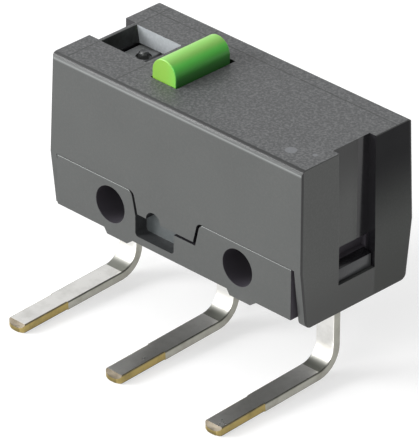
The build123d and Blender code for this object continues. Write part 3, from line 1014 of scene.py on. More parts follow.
@dataclass(frozen=True)
class Studio:
    """Floor, lamps, world and camera.

    Attributes:
        azimuth: Camera's angle from the front, towards the right end, in degrees.
        elevation: Camera's angle above the horizontal, in degrees.
        roll: Camera's roll in degrees.
        distance: From the target to the camera.
        target: The point in the middle of the picture.
        lens: Focal length for the film.
        film: Long side of the film.
        clip: Nearest and farthest distance that the camera sees, in metres.
        floor_z: Height of the floor, under the tips of the terminals.
        floor_size: Side of the floor.
        floor_grey: How much light the floor throws back.
        floor_lift: How much it glows where the camera or a reflection sees it.
        lamps: Name, place, side and watts of each lamp.
        bright_side: Direction in which the room is brightest.
        room: Strength of the room's light on its dark and its bright side.
        turn: Share of that direction at which the light starts and stops to rise.
    """

    azimuth: float = 44.53
    elevation: float = 29.695
    roll: float = 0.342
    distance: float = 217.4
    target: Point = (-0.1486, -0.8784, -0.2954)
    lens: float = 483.78
    film: float = 36.0
    clip: Span = (0.01, 10.0)
    floor_z: float = -4.83
    floor_size: float = 900.0
    floor_grey: float = 0.55
    floor_lift: float = 0.5
    lamps: tuple[tuple[str, Point, float, float], ...] = (
        ("key", (-116.0, -128.0, 78.0), 90.0, 0.34),
        ("front", (20.0, -190.0, 60.0), 120.0, 0.16),
    )
    bright_side: Point = (-0.80, -0.30, 0.52)
    room: Span = (0.12, 0.95)
    turn: Span = (-0.5, 0.6)

    def camera(self) -> None:
        """Place the camera."""
        a, e, r = (math.radians(v) for v in (self.azimuth, self.elevation, self.roll))
        back = Vector((math.sin(a) * math.cos(e), -math.cos(a) * math.cos(e), math.sin(e)))
        right = Vector((0, 0, 1)).cross(back).normalized()
        up = back.cross(right)
        turned = (
            right * math.cos(r) + up * math.sin(r),
            up * math.cos(r) - right * math.sin(r),
            back,
        )
        data = bpy.data.cameras.new("camera")
        data.lens = self.lens
        data.sensor_width = self.film
        data.clip_start, data.clip_end = self.clip
        camera = linked("camera", data)
        place = (Vector(self.target) + back * self.distance) * MM
        camera.matrix_world = Matrix.Translation(place) @ Matrix(turned).transposed().to_4x4()
        bpy.context.scene.camera = camera

    def floor(self) -> None:
        """Lay the pale floor, which shows white where it is lit and keeps a soft shadow."""
        material, tree, shader = new_material("painted_board_white")
        for name, value in (
            ("Roughness", 0.9),
            ("Specular IOR Level", 0.0),
            ("Base Color", (*3 * (self.floor_grey,), 1.0)),
            ("Emission Color", WHITE),
        ):
            shader.inputs[name].default_value = value
        path = add_node(tree, "ShaderNodeLightPath").outputs
        seen = add_node(
            tree,
            "ShaderNodeMath",
            {".operation": "MAXIMUM"},
            {0: path["Is Camera Ray"], 1: path["Is Glossy Ray"]},
        )
        lift = add_node(
            tree, "ShaderNodeMath", {".operation": "MULTIPLY", 1: self.floor_lift}, {0: seen}
        )
        tree.links.new(output(lift), shader.inputs["Emission Strength"])
        bm = bmesh.new()
        bmesh.ops.create_grid(bm, x_segments=1, y_segments=1, size=self.floor_size / 2 * MM)
        bmesh.ops.translate(bm, verts=bm.verts, vec=Vector((0, 0, self.floor_z * MM)))
        plain_mesh("floor", bm, material)

    def lamp(self, name: str, toward: Point, size: float, watts: float) -> None:
        """Hang an area lamp that looks at the middle of the switch.

        Args:
            name: The lamp's name.
            toward: Where the lamp hangs, in millimetres.
            size: Side of the lamp.
            watts: Its power.
        """
        data = bpy.data.lights.new(name, "AREA")
        data.shape = "SQUARE"
        data.size = size * MM
        data.energy = watts
        lamp = linked(name, data)
        place = Vector(toward) * MM
        turned = place.to_track_quat("Z", "Y").to_matrix().to_4x4()
        lamp.matrix_world = Matrix.Translation(place) @ turned

    def world(self) -> None:
        """Light the room softly, brighter from one side, and white where the camera sees it."""
        world = bpy.data.worlds.new("studio")
        bpy.context.scene.world = world
        world.use_nodes = True
        tree = world.node_tree
        tree.nodes.clear()
        coords = add_node(tree, "ShaderNodeTexCoord")
        along = add_node(
            tree,
            "ShaderNodeVectorMath",
            {".operation": "DOT_PRODUCT", 1: tuple(Vector(self.bright_side).normalized())},
            {0: coords.outputs["Generated"]},
        )
        start, end = self.turn
        dark, bright = self.room
        side = add_node(
            tree,
            "ShaderNodeMapRange",
            {".interpolation_type": "SMOOTHSTEP", 1: start, 2: end, 3: dark, 4: bright},
            {0: along},
        )
        path = add_node(tree, "ShaderNodeLightPath").outputs
        seen = add_node(
            tree,
            "ShaderNodeMath",
            {".operation": "MAXIMUM"},
            {0: path["Is Camera Ray"], 1: path["Is Transmission Ray"]},
        )
        level = add_node(tree, "ShaderNodeMath", {".operation": "MAXIMUM"}, {0: seen, 1: side})
        sky = add_node(tree, "ShaderNodeBackground", {"Color": WHITE}, {"Strength": level})
        add_node(tree, "ShaderNodeOutputWorld", links={"Surface": sky})

    def build(self) -> None:
        """Set up the whole studio."""
        bpy.context.scene.view_settings.view_transform = "Standard"
        self.camera()
        self.floor()
        for lamp in self.lamps:
            self.lamp(*lamp)
        self.world()


@dataclass(frozen=True)
class Housing:
    """Cover and base, moulded in black glass-filled PBT.

    Attributes:
        edge: Rounding of the moulded edges.
        near: How far a patch reaches past the nominal place of its faces.
        end_x: Beyond this distance from the middle lie the two ends of the case.
        roof_z: Height of the roof.
        ceiling_z: Underside of the roof's wall.
        slack: How far past the gate's and a bore's radius their faces can lie.
        turn_z: How far below the roof's level the roundings along its edges can lie.
        groove_half: Half the width of the latch groove.
        groove_end: Between the groove's floor and the case end, from the middle.
        painted_reflection_y: Front edge of the glossy strip along the back of the right groove,
            painted dark as a reflection of the groove's wall.
        border: Width of the border of painted shade round each end of the cover.
        border_y: It runs farther than this from the middle plane.
        layer_y: Between the front of the base's outer layer and the pocket's back.
        front_z: Above this the cover's front has its own finish.
        foot_z: Above this the base's ends have their own finish.
        shelf_z: Between these heights lies the rounding along the top of the base's front.
        tongue_gap: Spans of the gap round the front tongue, just behind the case's front.
        pocket_x: Left and right of the pocket in the base's front.
        pocket_y: In front of this its faces lie.
        pocket_z: Its foot and top.
        hook_x: From here outwards the latch hook's face and its slope lie.
        hook_z: Foot of the latch hook, and the tops of its face, its slope and its room.
        hole_x: Distance of a mounting hole from the middle.
        hole_radius: Radius of a mounting hole.
        bridge_z: Top of the bridge under the window.
        bridge_drop: How far below it faces still belong to the bridge.
        gate: Place and radius of the stub of the moulding gate.
        gate_z: Heights of its foot and of its torn end, from the bridge's top.
        window: Left, right, front and back of the window in the roof.
        slot: Left, right, front and back of the plunger's slot.
    """

    edge: float = 0.03
    near: float = 0.05
    slack: float = 0.02
    end_x: float = 5.5
    roof_z: float = 5.12
    ceiling_z: float = 4.42
    turn_z: float = 0.3
    groove_half: float = 0.94
    groove_end: float = 6.15
    painted_reflection_y: float = 0.36
    border: float = 0.05
    border_y: float = 2.4
    layer_y: float = -2.6
    front_z: float = 1.0
    foot_z: float = -0.3
    shelf_z: Span = (0.7, 1.1)
    tongue_gap: tuple[Span, Span, Span] = ((-2.4, 1.5), (-2.893, -2.35), (0.0, 0.95))
    pocket_x: Span = (-2.2, 0.2)
    pocket_y: float = -2.0
    pocket_z: Span = (-1.05, 0.5)
    hook_x: Span = (6.1, 5.9)
    hook_z: tuple[float, float, float, float] = (-1.0, 0.5, 0.7, 2.0)
    hole_x: float = 3.25
    hole_radius: float = 0.74
    bridge_z: float = 4.30
    bridge_drop: float = 0.2
    gate: Point = (-4.845, 0.40, 0.20)
    gate_z: tuple[Span, Span] = ((-0.12, -0.02), (0.02, 0.30))
    window: tuple[float, float, float, float] = (-5.675, -3.35, -0.97, 0.87)
    slot: tuple[float, float, float, float] = (-2.455, -1.115, -1.63, 1.40)

    def finishes(self) -> dict[str, Material]:
        """Make the surfaces of the two moulds.

        Returns:
            Plain word for the place to its material.
        """
        # Name, colour, speck, roughness, and size and depth of the texture.
        looks = {
            "side": ("fine_eroded", "#424443", "#474847", 0.46, 0.07, 0.003),
            # "front" gets a painted highlight along its top from its fade.
            "front": ("fine_eroded_front", "#424443", "#474847", 0.46, 0.07, 0.003),
            "roof": ("coarse_eroded", "#464748", "#6a6b6c", 0.50, 0.10, 0.014),
            # "round" is pale for a painted highlight on the roundings, with painted shade above it
            # from its fade.
            "round": ("polished_radius", "#979a99", "#9fa1a0", 0.40, 0.3, 0.002),
            # "edge" is near black for painted shade along edges, upright corners and the ends'
            # borders.
            "edge": ("sharp_edge", "#1d1e1e", "#232424", 0.30, 0.2, 0.002),
            # "end", "far_end" and "groove" get painted shade and a painted reflection by height
            # from their fades.
            "end": ("satin_end", "#4b4d4b", "#525452", 0.42, 0.08, 0.005),
            "far_end": ("satin_end_far", "#595b59", "#5f615f", 0.50, 0.08, 0.004),
            "groove": ("groove_floor", "#525452", "#585a58", 0.34, 0.09, 0.004),
            # "recess" is near black for painted shade in gaps, slots and grooves.
            "recess": ("polished_recess", "#222124", "#262528", 0.16, 0.4, 0.001),
            "bore": ("bore", "#464448", "#4a484c", 0.40, 0.2, 0.002),
            "void": ("latch_room", "#57535a", "#5b575e", 0.60, 0.2, 0.002),
            # "shade" is dark for painted shade on the walls of the window and inside the pocket.
            "shade": ("draw_polished", "#303132", "#353738", 0.25, 0.2, 0.002),
            # "pale" is pale for painted light on the window's back wall.
            "pale": ("flash_polished", "#9fa3a6", "#aaaeb1", 0.35, 0.12, 0.002),
            # "bridge" is pale for painted light on the bridge under the window, with painted shade
            # towards the right from its fade.
            "bridge": ("bridge_eroded", "#929495", "#a0a2a3", 0.42, 0.09, 0.008),
            "stub": ("torn_gate", "#3c3e3e", "#8e9090", 0.10, 0.16, 0.050),
            "hook": ("hook", "#424345", "#484a4b", 0.34, 0.09, 0.004),
            "pocket": ("pocket_back", "#454a4b", "#4c5152", 0.36, 0.08, 0.004),
        }
        # Those of "front" and "round" are a painted highlight and painted shade that stand in for
        # the lamp's reflection on a rounding that lies lower on the real cover, and that of
        # "bridge" is painted shade for a step that may be there. Those of "end" and "groove" are
        # painted shade, darker towards the foot and towards the roof, and those of "far_end" a
        # painted reflection, dark towards the roof.
        fades = {
            "front": (Fade(2, 4.81, 4.93, "#7e8180"),),
            "round": (Fade(1, -2.885, -2.775, "#2a2b2b"),),
            "end": (Fade(2, 1.0, -1.3, "#3b3c3a"),),
            "far_end": (Fade(2, 1.0, -1.3, "#565755"), Fade(2, 0.6, 4.2, "#0c0c10")),
            "groove": (Fade(2, 2.4, 4.8, "#1c1d1d"),),
            "bore": (Fade(1, -1.0, -2.7, "#403d43"), Fade(1, 1.0, 2.7, "#403d43")),
            "bridge": (Fade(0, -4.66, -4.50, "#2e2e30"),),
        }
        gloss = {"far_end": 0.14, "void": 0.2}
        finish = {}
        for place, (name, *look) in looks.items():
            kind = RoofPlastic if place == "roof" else MouldedPlastic
            skin = (fades.get(place, ()), gloss.get(place, MouldedPlastic.gloss))
            finish[place] = kind("pbt_black_" + name, *look, *skin).build()
        return finish

    def cover_patches(self, finish: dict[str, Material]) -> list[Patch]:
        """Say which finish each part of the cover has; several paint light and shade.

        Args:
            finish: The materials by place.

        Returns:
            The patches, the narrowest first.
        """
        near, end, inner = self.near, self.end_x, self.groove_end
        wall = (self.ceiling_z - near, self.roof_z - near)
        top, turn = (wall[1], FAR), (wall[1] - self.turn_z, FAR)
        in_window, in_slot = (
            ((left - near, right + near), (front - near, back + near), wall)
            for left, right, front, back in (self.window, self.slot)
        )
        half = self.groove_half + near
        groove, right, left = (-half, half), (end, FAR), (-FAR, -end)
        recess, sides = finish["recess"], (Facing.FRONT, Facing.BACK)
        upper, corners = (Facing.UP_RIGHT, Facing.UP_LEFT), (Facing.RIGHT_FRONT, Facing.LEFT_FRONT)
        return [
            # Painted light on the window's back wall and painted shade on its other walls.
            Patch(finish["pale"], (Facing.FRONT,), *in_window, spread=25.0),
            Patch(finish["shade"], (), *in_window),
            # Painted shade in the plunger's slot, on the walls of the latch grooves, on faces
            # turned into the gaps at the ends and round the tongue.
            Patch(recess, (), *in_slot),
            Patch(recess, sides, right, groove, spread=50.0),
            Patch(recess, sides, left, groove, spread=50.0),
            # Painted reflection: the glossy strip at the back of the right groove is dark for the
            # wall it mirrors.
            Patch(recess, (Facing.RIGHT,), (end, inner), (self.painted_reflection_y, half)),
            Patch(finish["groove"], (Facing.RIGHT,), (end, inner), groove),
            Patch(finish["groove"], (Facing.LEFT,), (-inner, -end), groove),
            Patch(recess, (Facing.LEFT,), right, spread=50.0),
            Patch(recess, (Facing.RIGHT,), left, spread=50.0),
            Patch(recess, (), *self.tongue_gap),
            # Painted shade along the roof's end edges and the upright corners.
            Patch(finish["edge"], upper, z=turn),
            Patch(finish["edge"], corners, spread=42.0),
            Patch(finish["roof"], (Facing.UP,), z=top, spread=12.0),
            Patch(finish["roof"], (Facing.UP_BACK,), z=turn, spread=42.0),
            # Painted highlight and painted shade on the front rounding of the roof.
            Patch(finish["round"], (Facing.UP_FRONT,), z=turn, spread=42.0),
            # The front's pale band along its top is a painted highlight.
            Patch(finish["front"], (Facing.FRONT,), y=(-FAR, self.layer_y), z=(self.front_z, FAR)),
            # Painted reflection on the far end, dark towards the roof.
            Patch(
                finish["far_end"],
                (Facing.RIGHT,),
                (inner, FAR),
                (self.groove_half, FAR),
                spread=40.0,
            ),
            # Painted shade on the ends, darker towards the foot.
            Patch(finish["end"], (Facing.LEFT, Facing.RIGHT), spread=40.0),
        ]

    def base_patches(self, finish: dict[str, Material]) -> list[Patch]:
        """Say which finish each part of the base has; several paint light and shade.

        Args:
            finish: The materials by place.

        Returns:
            The patches, the narrowest first.
        """
        x, y, radius = self.gate
        reach, bore = radius + self.slack, self.hole_radius + self.slack
        round_bore = (Facing.LEFT, Facing.RIGHT, Facing.UP, Facing.DOWN)
        stubs = [
            Patch(
                finish["stub"],
                (),
                (x - reach, x + reach),
                (y - reach, y + reach),
                (self.bridge_z + low, self.bridge_z + high),
            )
            for low, high in self.gate_z
        ]
        bores = [
            Patch(finish["bore"], round_bore, (at - bore, at + bore), z=(-bore, bore), spread=50.0)
            for at in (-self.hole_x, self.hole_x)
        ]
        pocket_x, pocket_y, pocket_z = self.pocket_x, self.pocket_y, self.pocket_z
        inside = (Facing.RIGHT, Facing.UP, Facing.DOWN)
        foot, hook_top, slope_top, room_top = self.hook_z
        face_x, slope_x = self.hook_x
        half = self.groove_half + self.near
        groove, right, left = (-half, half), (self.end_x, FAR), (-FAR, -self.end_x)
        recess, ends = finish["recess"], (Facing.RIGHT, Facing.LEFT)
        climb = (Facing.UP_RIGHT, Facing.UP)
        return [
            *stubs,
            # Painted light on the bridge under the window.
            Patch(finish["bridge"], (Facing.UP,), z=(self.bridge_z - self.bridge_drop, FAR)),
            *bores,
            Patch(finish["pocket"], (Facing.FRONT,), pocket_x, (self.layer_y, pocket_y), pocket_z),
            # Painted shade inside the pocket.
            Patch(finish["shade"], inside, pocket_x, (-FAR, pocket_y), pocket_z, spread=50.0),
            # Painted shade in the gap round the tongue.
            Patch(recess, (), *self.tongue_gap),
            # Painted highlight on the rounding along the top of the base's front.
            Patch(finish["round"], (Facing.UP_FRONT,), y=(-FAR, self.layer_y), z=self.shelf_z),
            Patch(finish["hook"], ends, (face_x, FAR), groove, (foot, hook_top)),
            # Painted shade on the latch hook's slope.
            Patch(recess, climb, (slope_x, FAR), groove, (foot, slope_top), spread=45.0),
            Patch(finish["void"], (), right, groove, (foot, room_top)),
            # Painted shade on faces turned into the gaps at the ends.
            Patch(recess, (Facing.RIGHT,), right, spread=50.0),
            Patch(recess, (Facing.LEFT,), left, spread=50.0),
            # Painted shade on the base's ends, darker towards the foot.
            Patch(finish["end"], ends, z=(self.foot_z, FAR), spread=40.0),
        ]

    def build(self) -> None:
        """Make both pieces."""
        finish = self.finishes()
        shell = eased_mesh("cover", self.edge)
        # A border of painted shade round each end, in the near-black edge finish.
        for end in (Facing.RIGHT, Facing.LEFT):
            frame_faces(shell, end, self.groove_end, self.border, self.border_y)
        # The first cut bounds the glossy strip that is painted dark as a reflection of the groove's
        # wall.
        split_faces(shell, Facing.RIGHT, self.end_x, self.painted_reflection_y, self.groove_half)
        split_faces(shell, Facing.RIGHT, self.groove_end, self.groove_half)
        cover = smoothed(plain_mesh("cover_piece", shell, finish["side"], finish["edge"]))
        paint(cover, self.cover_patches(finish))
        hand_over(cover, Body.HOUSING, Slot.COVER, "cover")
        base = smoothed(plain_mesh("base_piece", eased_mesh("base", self.edge), finish["side"]))
        paint(base, self.base_patches(finish))
        hand_over(base, Body.HOUSING, Slot.BASE, "base")


@dataclass(frozen=True)
class Button:
    """The green plunger; its fades paint light and shade into the green.

    Attributes:
        edge: Rounding of its edges.
        colour: sRGB colour of its body.
        pale: sRGB colour of its cloudier parts.
        across: Painted shade: change towards the right side, to the green it shows in shade.
        down: Painted shade: darker towards the roof.
        ridge: Painted highlight along the top.
        turned: Painted light: change of the lit front and left towards the right side.
    """

    edge: float = 0.10
    colour: str = "#73a137"
    pale: str = "#7eae40"
    across: Fade = Fade(0, -1.66, -1.26, "#6ae35c")
    down: Fade = Fade(2, 6.05, 5.22, "#387434")
    ridge: Fade = Fade(2, 5.84, 6.05, "#8aca5c")
    turned: Fade = Fade(0, -1.80, -0.60, "#64c14e")

    def build(self) -> None:
        """Make the plunger."""
        # The fades paint shade on the right side and low down, and a highlight along the top.
        fades = (self.across, self.down, self.ridge)
        green = Acetal("acetal_green", self.colour, self.pale, fades).build()
        # A lit copy of the green for the front and the left, with painted light fading towards the
        # right.
        end = Acetal("acetal_green_painted_lit_side", self.colour, self.pale, (self.turned,)).build()
        plunger = smoothed(plain_mesh("plunger_piece", eased_mesh("plunger", self.edge), green))
        paint(plunger, [Patch(end, (Facing.FRONT, Facing.LEFT, Facing.LEFT_FRONT))])
        hand_over(plunger, Body.BUTTON, Slot.PLUNGER, "plunger")


@dataclass(frozen=True)
class Terminals:
    """The three terminals, stamped from silver-plated brass strip and bent to the front.

    The cut of the facet on the tip does not leave a sound mesh at all sizes: at some values of nose
    and of droop it leaves edges that don't have exactly two faces. A change of either needs a count
    of such edges.

    Attributes:
        places: Node and place along the case of each terminal.
        middle_y: Middle of the strip where it leaves the base.
        width: Width of the strip.
        thickness: Its thickness.
        top_z: Where the leg joins the part inside the base.
        overlap: How far the two reach into each other.
        tip_y: Front end of the leg.
        tip_z: Height of the strip's middle at that end.
        droop: Slope of the leg below the horizontal in degrees.
        bend: Radius of the middle line in the bend.
        cut_length: Length of the tip that was cut apart after plating.
        cut_step: How much narrower the tip is on each side.
        cut_run: Half the length over which it gets narrower.
        corner: How much narrower the end's rounded corners make it on each side.
        nose: Length of those corners, and of the facet that the smeared plating makes.
        smear_drop: Height of that facet, from the upper face down.
        edge: Rounding of the strip's edges.
        tip_reach: How far back from the tip its faces lie.
        cut_reach: How far past the cut length its edges and its sides are bare.
        rolled_z: Below this the strip's edges show, outside the base.
        sheared_z: Below this its sides show.
        inner_bend: Spans of Y and Z of the inside of the bend.
    """

    places: tuple[tuple[str, float], ...] = (("com", -5.08), ("no", 0.0), ("nc", 5.08))
    middle_y: float = -0.03
    width: float = 0.90
    thickness: float = 0.35
    top_z: float = 0.89
    overlap: float = 0.04
    tip_y: float = -6.05
    tip_z: float = -4.64
    droop: float = 2.5
    bend: float = 0.925
    cut_length: float = 2.30
    cut_step: float = 0.04
    cut_run: float = 0.02
    corner: float = 0.36
    nose: float = 0.15
    smear_drop: float = 0.18
    edge: float = 0.045
    tip_reach: float = 0.2
    cut_reach: Span = (0.03, 0.05)
    rolled_z: float = -1.2
    sheared_z: float = 0.9
    inner_bend: tuple[Span, Span] = ((-1.2, 0.0), (-4.5, -3.4))

    def leg(self, name: str, x: float, plate: Material) -> Object:
        """Sweep one leg out of the base and forward to its tip.

        Args:
            name: The leg's name.
            x: Its place along the case.
            plate: The finish of its plated faces.

        Returns:
            The leg as a plain mesh.
        """
        slope = math.tan(math.radians(self.droop))
        bend_z = self.tip_z + (self.middle_y - self.tip_y) * slope
        cut_y = self.tip_y + self.cut_length
        narrow = 1 - 2 * self.cut_step / self.width
        steps = [(cut_y + self.cut_run, 1.0), (cut_y - self.cut_run, narrow)]
        for sine, cosine in quarter(6):
            inset, back = self.corner * (1 - cosine), self.nose * (1 - sine)
            steps.append((self.tip_y + back, narrow - 2 * inset / self.width))
        path = [(x, self.middle_y, self.top_z), (x, self.middle_y, bend_z)]
        path += [(x, y, self.tip_z + (y - self.tip_y) * slope) for y, _size in steps]
        waist = [1.0, 1.0] + [size for _y, size in steps]
        size = (self.width, self.thickness, self.bend, self.edge)
        leg = SweptStrip(name, path, *size, waist).build(plate)
        # The blade that cut the tips apart drew the plating down over the end.
        bm = bmesh.new()
        bm.from_mesh(leg.data)
        foot = self.tip_z + self.thickness / 2 - self.smear_drop
        outward = Vector((0, -self.smear_drop, self.nose)).normalized()
        cut_away(bm, (0, self.tip_y, foot), outward)
        bm.to_mesh(leg.data)
        bm.free()
        return leg

    def finishes(self) -> dict[str, Material]:
        """Make the surfaces that the rolls, the dies and the plating left.

        Returns:
            Plain word for the surface to its material.
        """
        along, even = (0.06, 3.0, 3.0), (0.3, 0.3, 0.3)
        painted_bend_reflection = (Fade(2, -3.90, -4.18, "#8c8d86"),)
        # Name, colour, stain, roughness, and spacing and depth of the lines.
        looks = {
            "plate": ("silver_plate_rolled", "#e2e1de", "#cdccc8", 0.30, along),
            "shear": ("silver_plate_sheared", "#aaa9a0", "#98968c", 0.42, (1.0, 0.10, 0.05), 0.006),
            "brass": ("brass_cut_bare", "#a79560", "#80744c", 0.40, (1.0, 0.12, 0.05), 0.006),
            "blunt": ("brass_sheared_tip", "#84764a", "#6b6040", 0.45, even),
            # The next finish is darker low in the bend: a painted reflection of the dark body.
            "bend_reflection": ("silver_plate_painted_bend_reflection", "#e0dfdb", "#cfcdc6", 0.48, along, 0.00015, painted_bend_reflection),
            "smear": ("silver_plate_smeared", "#5d574d", "#484136", 0.50, (0.08, 0.3, 0.3)),
            # The next three are darker for painted shade: shadow under the burrs, and shade along
            # the cut and the rolled edges.
            "burr": ("brass_burr_painted_shadow", "#3a3422", "#2d281a", 0.45, even),
            "upper_edge_shade": ("brass_edge_painted_shade", "#7d745c", "#665e49", 0.45, even),
            "roll": ("silver_plate_edge", "#7b7b74", "#66665f", 0.40, even),
        }
        return {surface: StripMetal(*look).build() for surface, look in looks.items()}

    def patches(self, finish: dict[str, Material]) -> list[Patch]:
        """Say which finish each part of a terminal has.

        Args:
            finish: The materials by surface.

        Returns:
            The patches, the narrowest first.
        """
        cut_y = self.tip_y + self.cut_length
        tip, cut_edges, cut_sides = (
            (-FAR, end)
            for end in (self.tip_y + self.tip_reach, *(cut_y + more for more in self.cut_reach))
        )
        low, sides = (-FAR, 0.0), (Facing.LEFT, Facing.RIGHT)
        corners = (*sides, Facing.RIGHT_FRONT, Facing.LEFT_FRONT)
        upper = (Facing.UP_RIGHT, Facing.UP_LEFT)
        lower = (Facing.DOWN_RIGHT, Facing.DOWN_LEFT)
        bend_y, bend_z = self.inner_bend
        return [
            Patch(finish["smear"], (Facing.UP_FRONT,), y=tip, z=low, spread=40.0),
            # Painted shadow under the burrs and painted shade along the cut and the rolled edges.
            Patch(finish["upper_edge_shade"], upper, y=cut_edges, z=low, spread=33.0),
            Patch(finish["burr"], lower, y=cut_edges, z=low, spread=33.0),
            Patch(finish["roll"], upper + lower, z=(-FAR, self.rolled_z), spread=33.0),
            Patch(finish["brass"], corners, y=cut_sides, z=low),
            Patch(finish["blunt"], (Facing.FRONT,), y=tip, z=low),
            Patch(finish["shear"], sides, z=(-FAR, self.sheared_z)),
            # Painted reflection of the dark body, low in the inside of the bend.
            Patch(finish["bend_reflection"], (Facing.UP_FRONT,), y=bend_y, z=bend_z, spread=43.0),
        ]

    def build(self) -> None:
        """Make the three terminals."""
        finish = self.finishes()
        patches, plate = self.patches(finish), finish["plate"]
        for short, x in self.places:
            node = short + "_terminal"
            inside = eased_mesh(node, self.edge)
            cut_away(inside, (0, 0, self.top_z - self.overlap), Vector((0, 0, -1)))
            root = plain_mesh(node + "_root", inside, plate)
            leg = self.leg(node + "_leg", x, plate)
            piece = smoothed(joined(node + "_piece", root, leg))
            hand_over(paint(piece, patches), Body.HOUSING, Slot.BRASS, node)


@dataclass(frozen=True)
class SnapSpring:
    """The one-piece snap blade of rolled beryllium copper.

    Attributes:
        middle_y: Middle of the blade across the case.
        level: Height of the blade's middle.
        thickness: Its thickness.
        left: Left end, in the notch of the common terminal.
        end_bar: Width of the bar at that end.
        pivot: Where the plunger presses the rails.
        window_end: Right end of the window that the tongue is cut from.
        taper: From there to where the blade starts to narrow.
        lap: How far the plate reaches back over the rails.
        rail: Width of a rail.
        piece: Length of the pieces that a rail is divided into.
        width: Width of the blade.
        eye: Place and radius of the end that holds the contact.
        tongue_width: Width of the tongue.
        tongue_tip: Place and height of the tongue's tip.
        tongue_steps: Number of pieces along the tongue.
        bow: How far the tongue bows up.
        anchored: Where the rails start to bend; not used.
        follow: Where the bow's own bending would end; not used.
    """

    middle_y: float = -0.03
    level: float = 2.57
    thickness: float = 0.10
    left: float = -5.28
    end_bar: float = 0.24
    pivot: float = -1.785
    window_end: float = 2.30
    taper: float = 0.2
    lap: float = 0.02
    rail: float = 0.46
    piece: float = 0.15
    width: float = 2.20
    eye: Span = (4.05, 0.62)
    tongue_width: float = 1.00
    tongue_tip: Span = (-0.85, 2.44)
    tongue_steps: int = 20
    bow: float = 0.50
    anchored: float = -5.0
    follow: float = 4.18

    def rail_pair(self, name: str, start: float, end: float, copper: Material) -> list[Object]:
        """Sweep the two rails between two places.

        Args:
            name: Start of the rails' names.
            start: Left end.
            end: Right end.
            copper: The finish.

        Returns:
            The two rails.
        """
        rails = []
        for side in (-1, 1):
            y = self.middle_y + side * (self.width - self.rail) / 2
            path = [(start, y, self.level), (end, y, self.level)]
            size = (self.rail, self.thickness)
            strip = SweptStrip(f"{name}_{side + 1}", path, *size, pieces=self.piece)
            rails.append(strip.build(copper))
        return rails

    def plate(self, copper: Material) -> Object:
        """Cut the solid end of the blade, which narrows to the eye of the contact.

        Args:
            copper: The finish.

        Returns:
            The plate.
        """
        eye_x, eye_r = self.eye
        half = self.width / 2
        turns = [math.radians(10 * part) for part in range(-6, 7)]
        start, shoulder = self.window_end - self.lap, self.window_end + self.taper
        outline = [
            (start, -half),
            (shoulder, -half),
            *((eye_x + eye_r * math.cos(turn), eye_r * math.sin(turn)) for turn in turns),
            (shoulder, half),
            (start, half),
        ]
        bm = bmesh.new()
        low = (self.level - self.thickness / 2) * MM
        verts = [bm.verts.new((x * MM, (y + self.middle_y) * MM, low)) for x, y in outline]
        grown = bmesh.ops.extrude_face_region(bm, geom=[bm.faces.new(verts)])
        moved = [v for v in grown["geom"] if isinstance(v, bmesh.types.BMVert)]
        bmesh.ops.translate(bm, verts=moved, vec=Vector((0, 0, self.thickness * MM)))
        return plain_mesh("blade_plate", bm, copper)

    def tongue(self, copper: Material) -> Object:
        """Sweep the bowed tongue from its root back to its tip.

        Args:
            copper: The finish.

        Returns:
            The tongue.
        """
        root = Vector((self.window_end + self.thickness, 0, self.level))
        tip = Vector((self.tongue_tip[0], 0, self.tongue_tip[1]))
        path = []
        for part in range(self.tongue_steps + 1):
            share = part / self.tongue_steps
            point = root.lerp(tip, share)
            path.append((point.x, self.middle_y, point.z + self.bow * 4 * share * (1 - share)))
        return SweptStrip("snap_tongue", path, self.tongue_width, self.thickness).build(copper)

    def build(self) -> None:
        """Make the three parts of the blade and put the blade on the arm."""
        look = ("beryllium_copper_rolled", "#c98a5e", "#b77c54", 0.30, (3.0, 0.05, 3.0))
        copper = StripMetal(*look).build()
        bar_x = self.left + self.end_bar / 2
        ends = (self.middle_y - self.width / 2, self.middle_y + self.width / 2)
        path = [(bar_x, y, self.level) for y in ends]
        bar = SweptStrip("end_bar", path, self.end_bar, self.thickness).build(copper)
        rails = self.rail_pair("anchor_rail", self.left, self.pivot, copper)
        anchor = smoothed(joined("snap_anchor", bar, *rails))
        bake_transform(anchor)
        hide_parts("snap_spring")
        rails = self.rail_pair("blade_rail", self.pivot, self.window_end, copper)
        blade = smoothed(joined("snap_blade", self.plate(copper), *rails))
        hand_over(blade, Body.ARM, Slot.SPRING)
        tongue = smoothed(self.tongue(copper))
        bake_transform(tongue)
        log.info("snap spring: rails and tongue bend, blade turns with the arm")


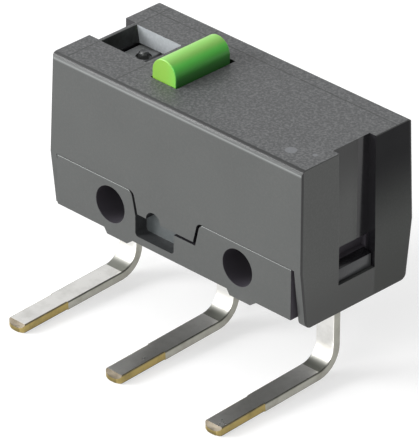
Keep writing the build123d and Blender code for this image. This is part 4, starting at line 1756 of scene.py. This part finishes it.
@dataclass(frozen=True)
class Contacts:
    """The three silver rivets, turned or headed from wire.

    Attributes:
        place: X and Y of their common axis.
        radius: Radius of a head.
        shank: Radius of the shank.
        upset: Radius of a riveted end, and its share at the very end.
        head: Height of a head.
        crown: How far a head's rim is rounded.
        step: Height over which a head or a riveted end steps in to the shank.
        moving: Middle of the moving contact, in the blade.
        blade: Thickness of the blade that it holds.
        lower: Foot of the lower fixed contact's head.
        upper: Foot of the upper fixed contact's head.
        tab: Thickness of the tab that a fixed contact is riveted through.
        upset_height: Height of a riveted end.
    """

    place: Span = (4.05, -0.03)
    radius: float = 0.55
    shank: float = 0.25
    upset: Span = (0.36, 0.9)
    head: float = 0.30
    crown: float = 0.08
    step: float = 0.001
    moving: float = 2.57
    blade: float = 0.10
    lower: float = 1.47
    upper: float = 3.25
    tab: float = 0.35
    upset_height: float = 0.08

    def half(self, foot: float, way: int) -> list[Span]:
        """List height and radius of the points of one head, from its foot to its crown.

        Args:
            foot: Height where the head meets what it is riveted to.
            way: 1 for a head that points up, -1 for down.

        Returns:
            The points of the turned outline.
        """
        points = [(foot, self.radius)]
        for sine, cosine in quarter(4):
            height = self.head - self.crown * (1 - sine)
            points.append((foot + way * height, self.radius - self.crown * (1 - cosine)))
        return points

    def fixed(self, foot: float, way: int) -> list[Span]:
        """Outline a fixed contact, from its riveted end through its tab to its head.

        Args:
            foot: Height where the head meets the tab.
            way: 1 for a head that points up, -1 for down.

        Returns:
            The points of the turned outline.
        """
        upset, share = self.upset
        far = foot - way * self.tab
        shank = [(far + way * self.step, self.shank), (foot - way * self.step, self.shank)]
        riveted = [(far - way * self.upset_height, upset * share), (far, upset)]
        return [*riveted, *shank, *self.half(foot, way)]

    def rivet(self, name: str, outline: list[Span], silver: Material) -> Object:
        """Turn a rivet about its upright axis.

        Args:
            name: The rivet's name.
            outline: Height and radius of the outline's points.
            silver: The finish.

        Returns:
            The rivet.
        """
        path = [(*self.place, height) for height, _radius in outline]
        waist = [radius / self.radius for _height, radius in outline]
        return smoothed(SweptStrip(name, path, 2 * self.radius, waist=waist).build(silver))

    def build(self) -> None:
        """Make the three contacts."""
        look = ("silver_contact_headed", "#dedcd6", "#c9c6bd", 0.28, (0.2, 0.2, 0.2))
        silver = StripMetal(*look).build()
        low, high = self.moving - self.blade / 2, self.moving + self.blade / 2
        shank = [(low + self.step, self.shank), (high - self.step, self.shank)]
        double = [*reversed(self.half(low, -1)), *shank, *self.half(high, 1)]
        for name, body, outline in (
            ("moving_contact", Body.ARM, double),
            ("no_contact", Body.HOUSING, self.fixed(self.lower, 1)),
            ("nc_contact", Body.HOUSING, self.fixed(self.upper, -1)),
        ):
            hand_over(self.rivet(name + "_piece", outline, silver), body, Slot.SILVER, name)


def main() -> None:
    """Build the sub-assemblies in order and report each piece."""
    logging.basicConfig(level=logging.INFO, format="%(message)s")
    for assembly in (Studio(), Housing(), Button(), Terminals(), SnapSpring(), Contacts()):
        assembly.build()


if __name__ == "__main__":
    main()
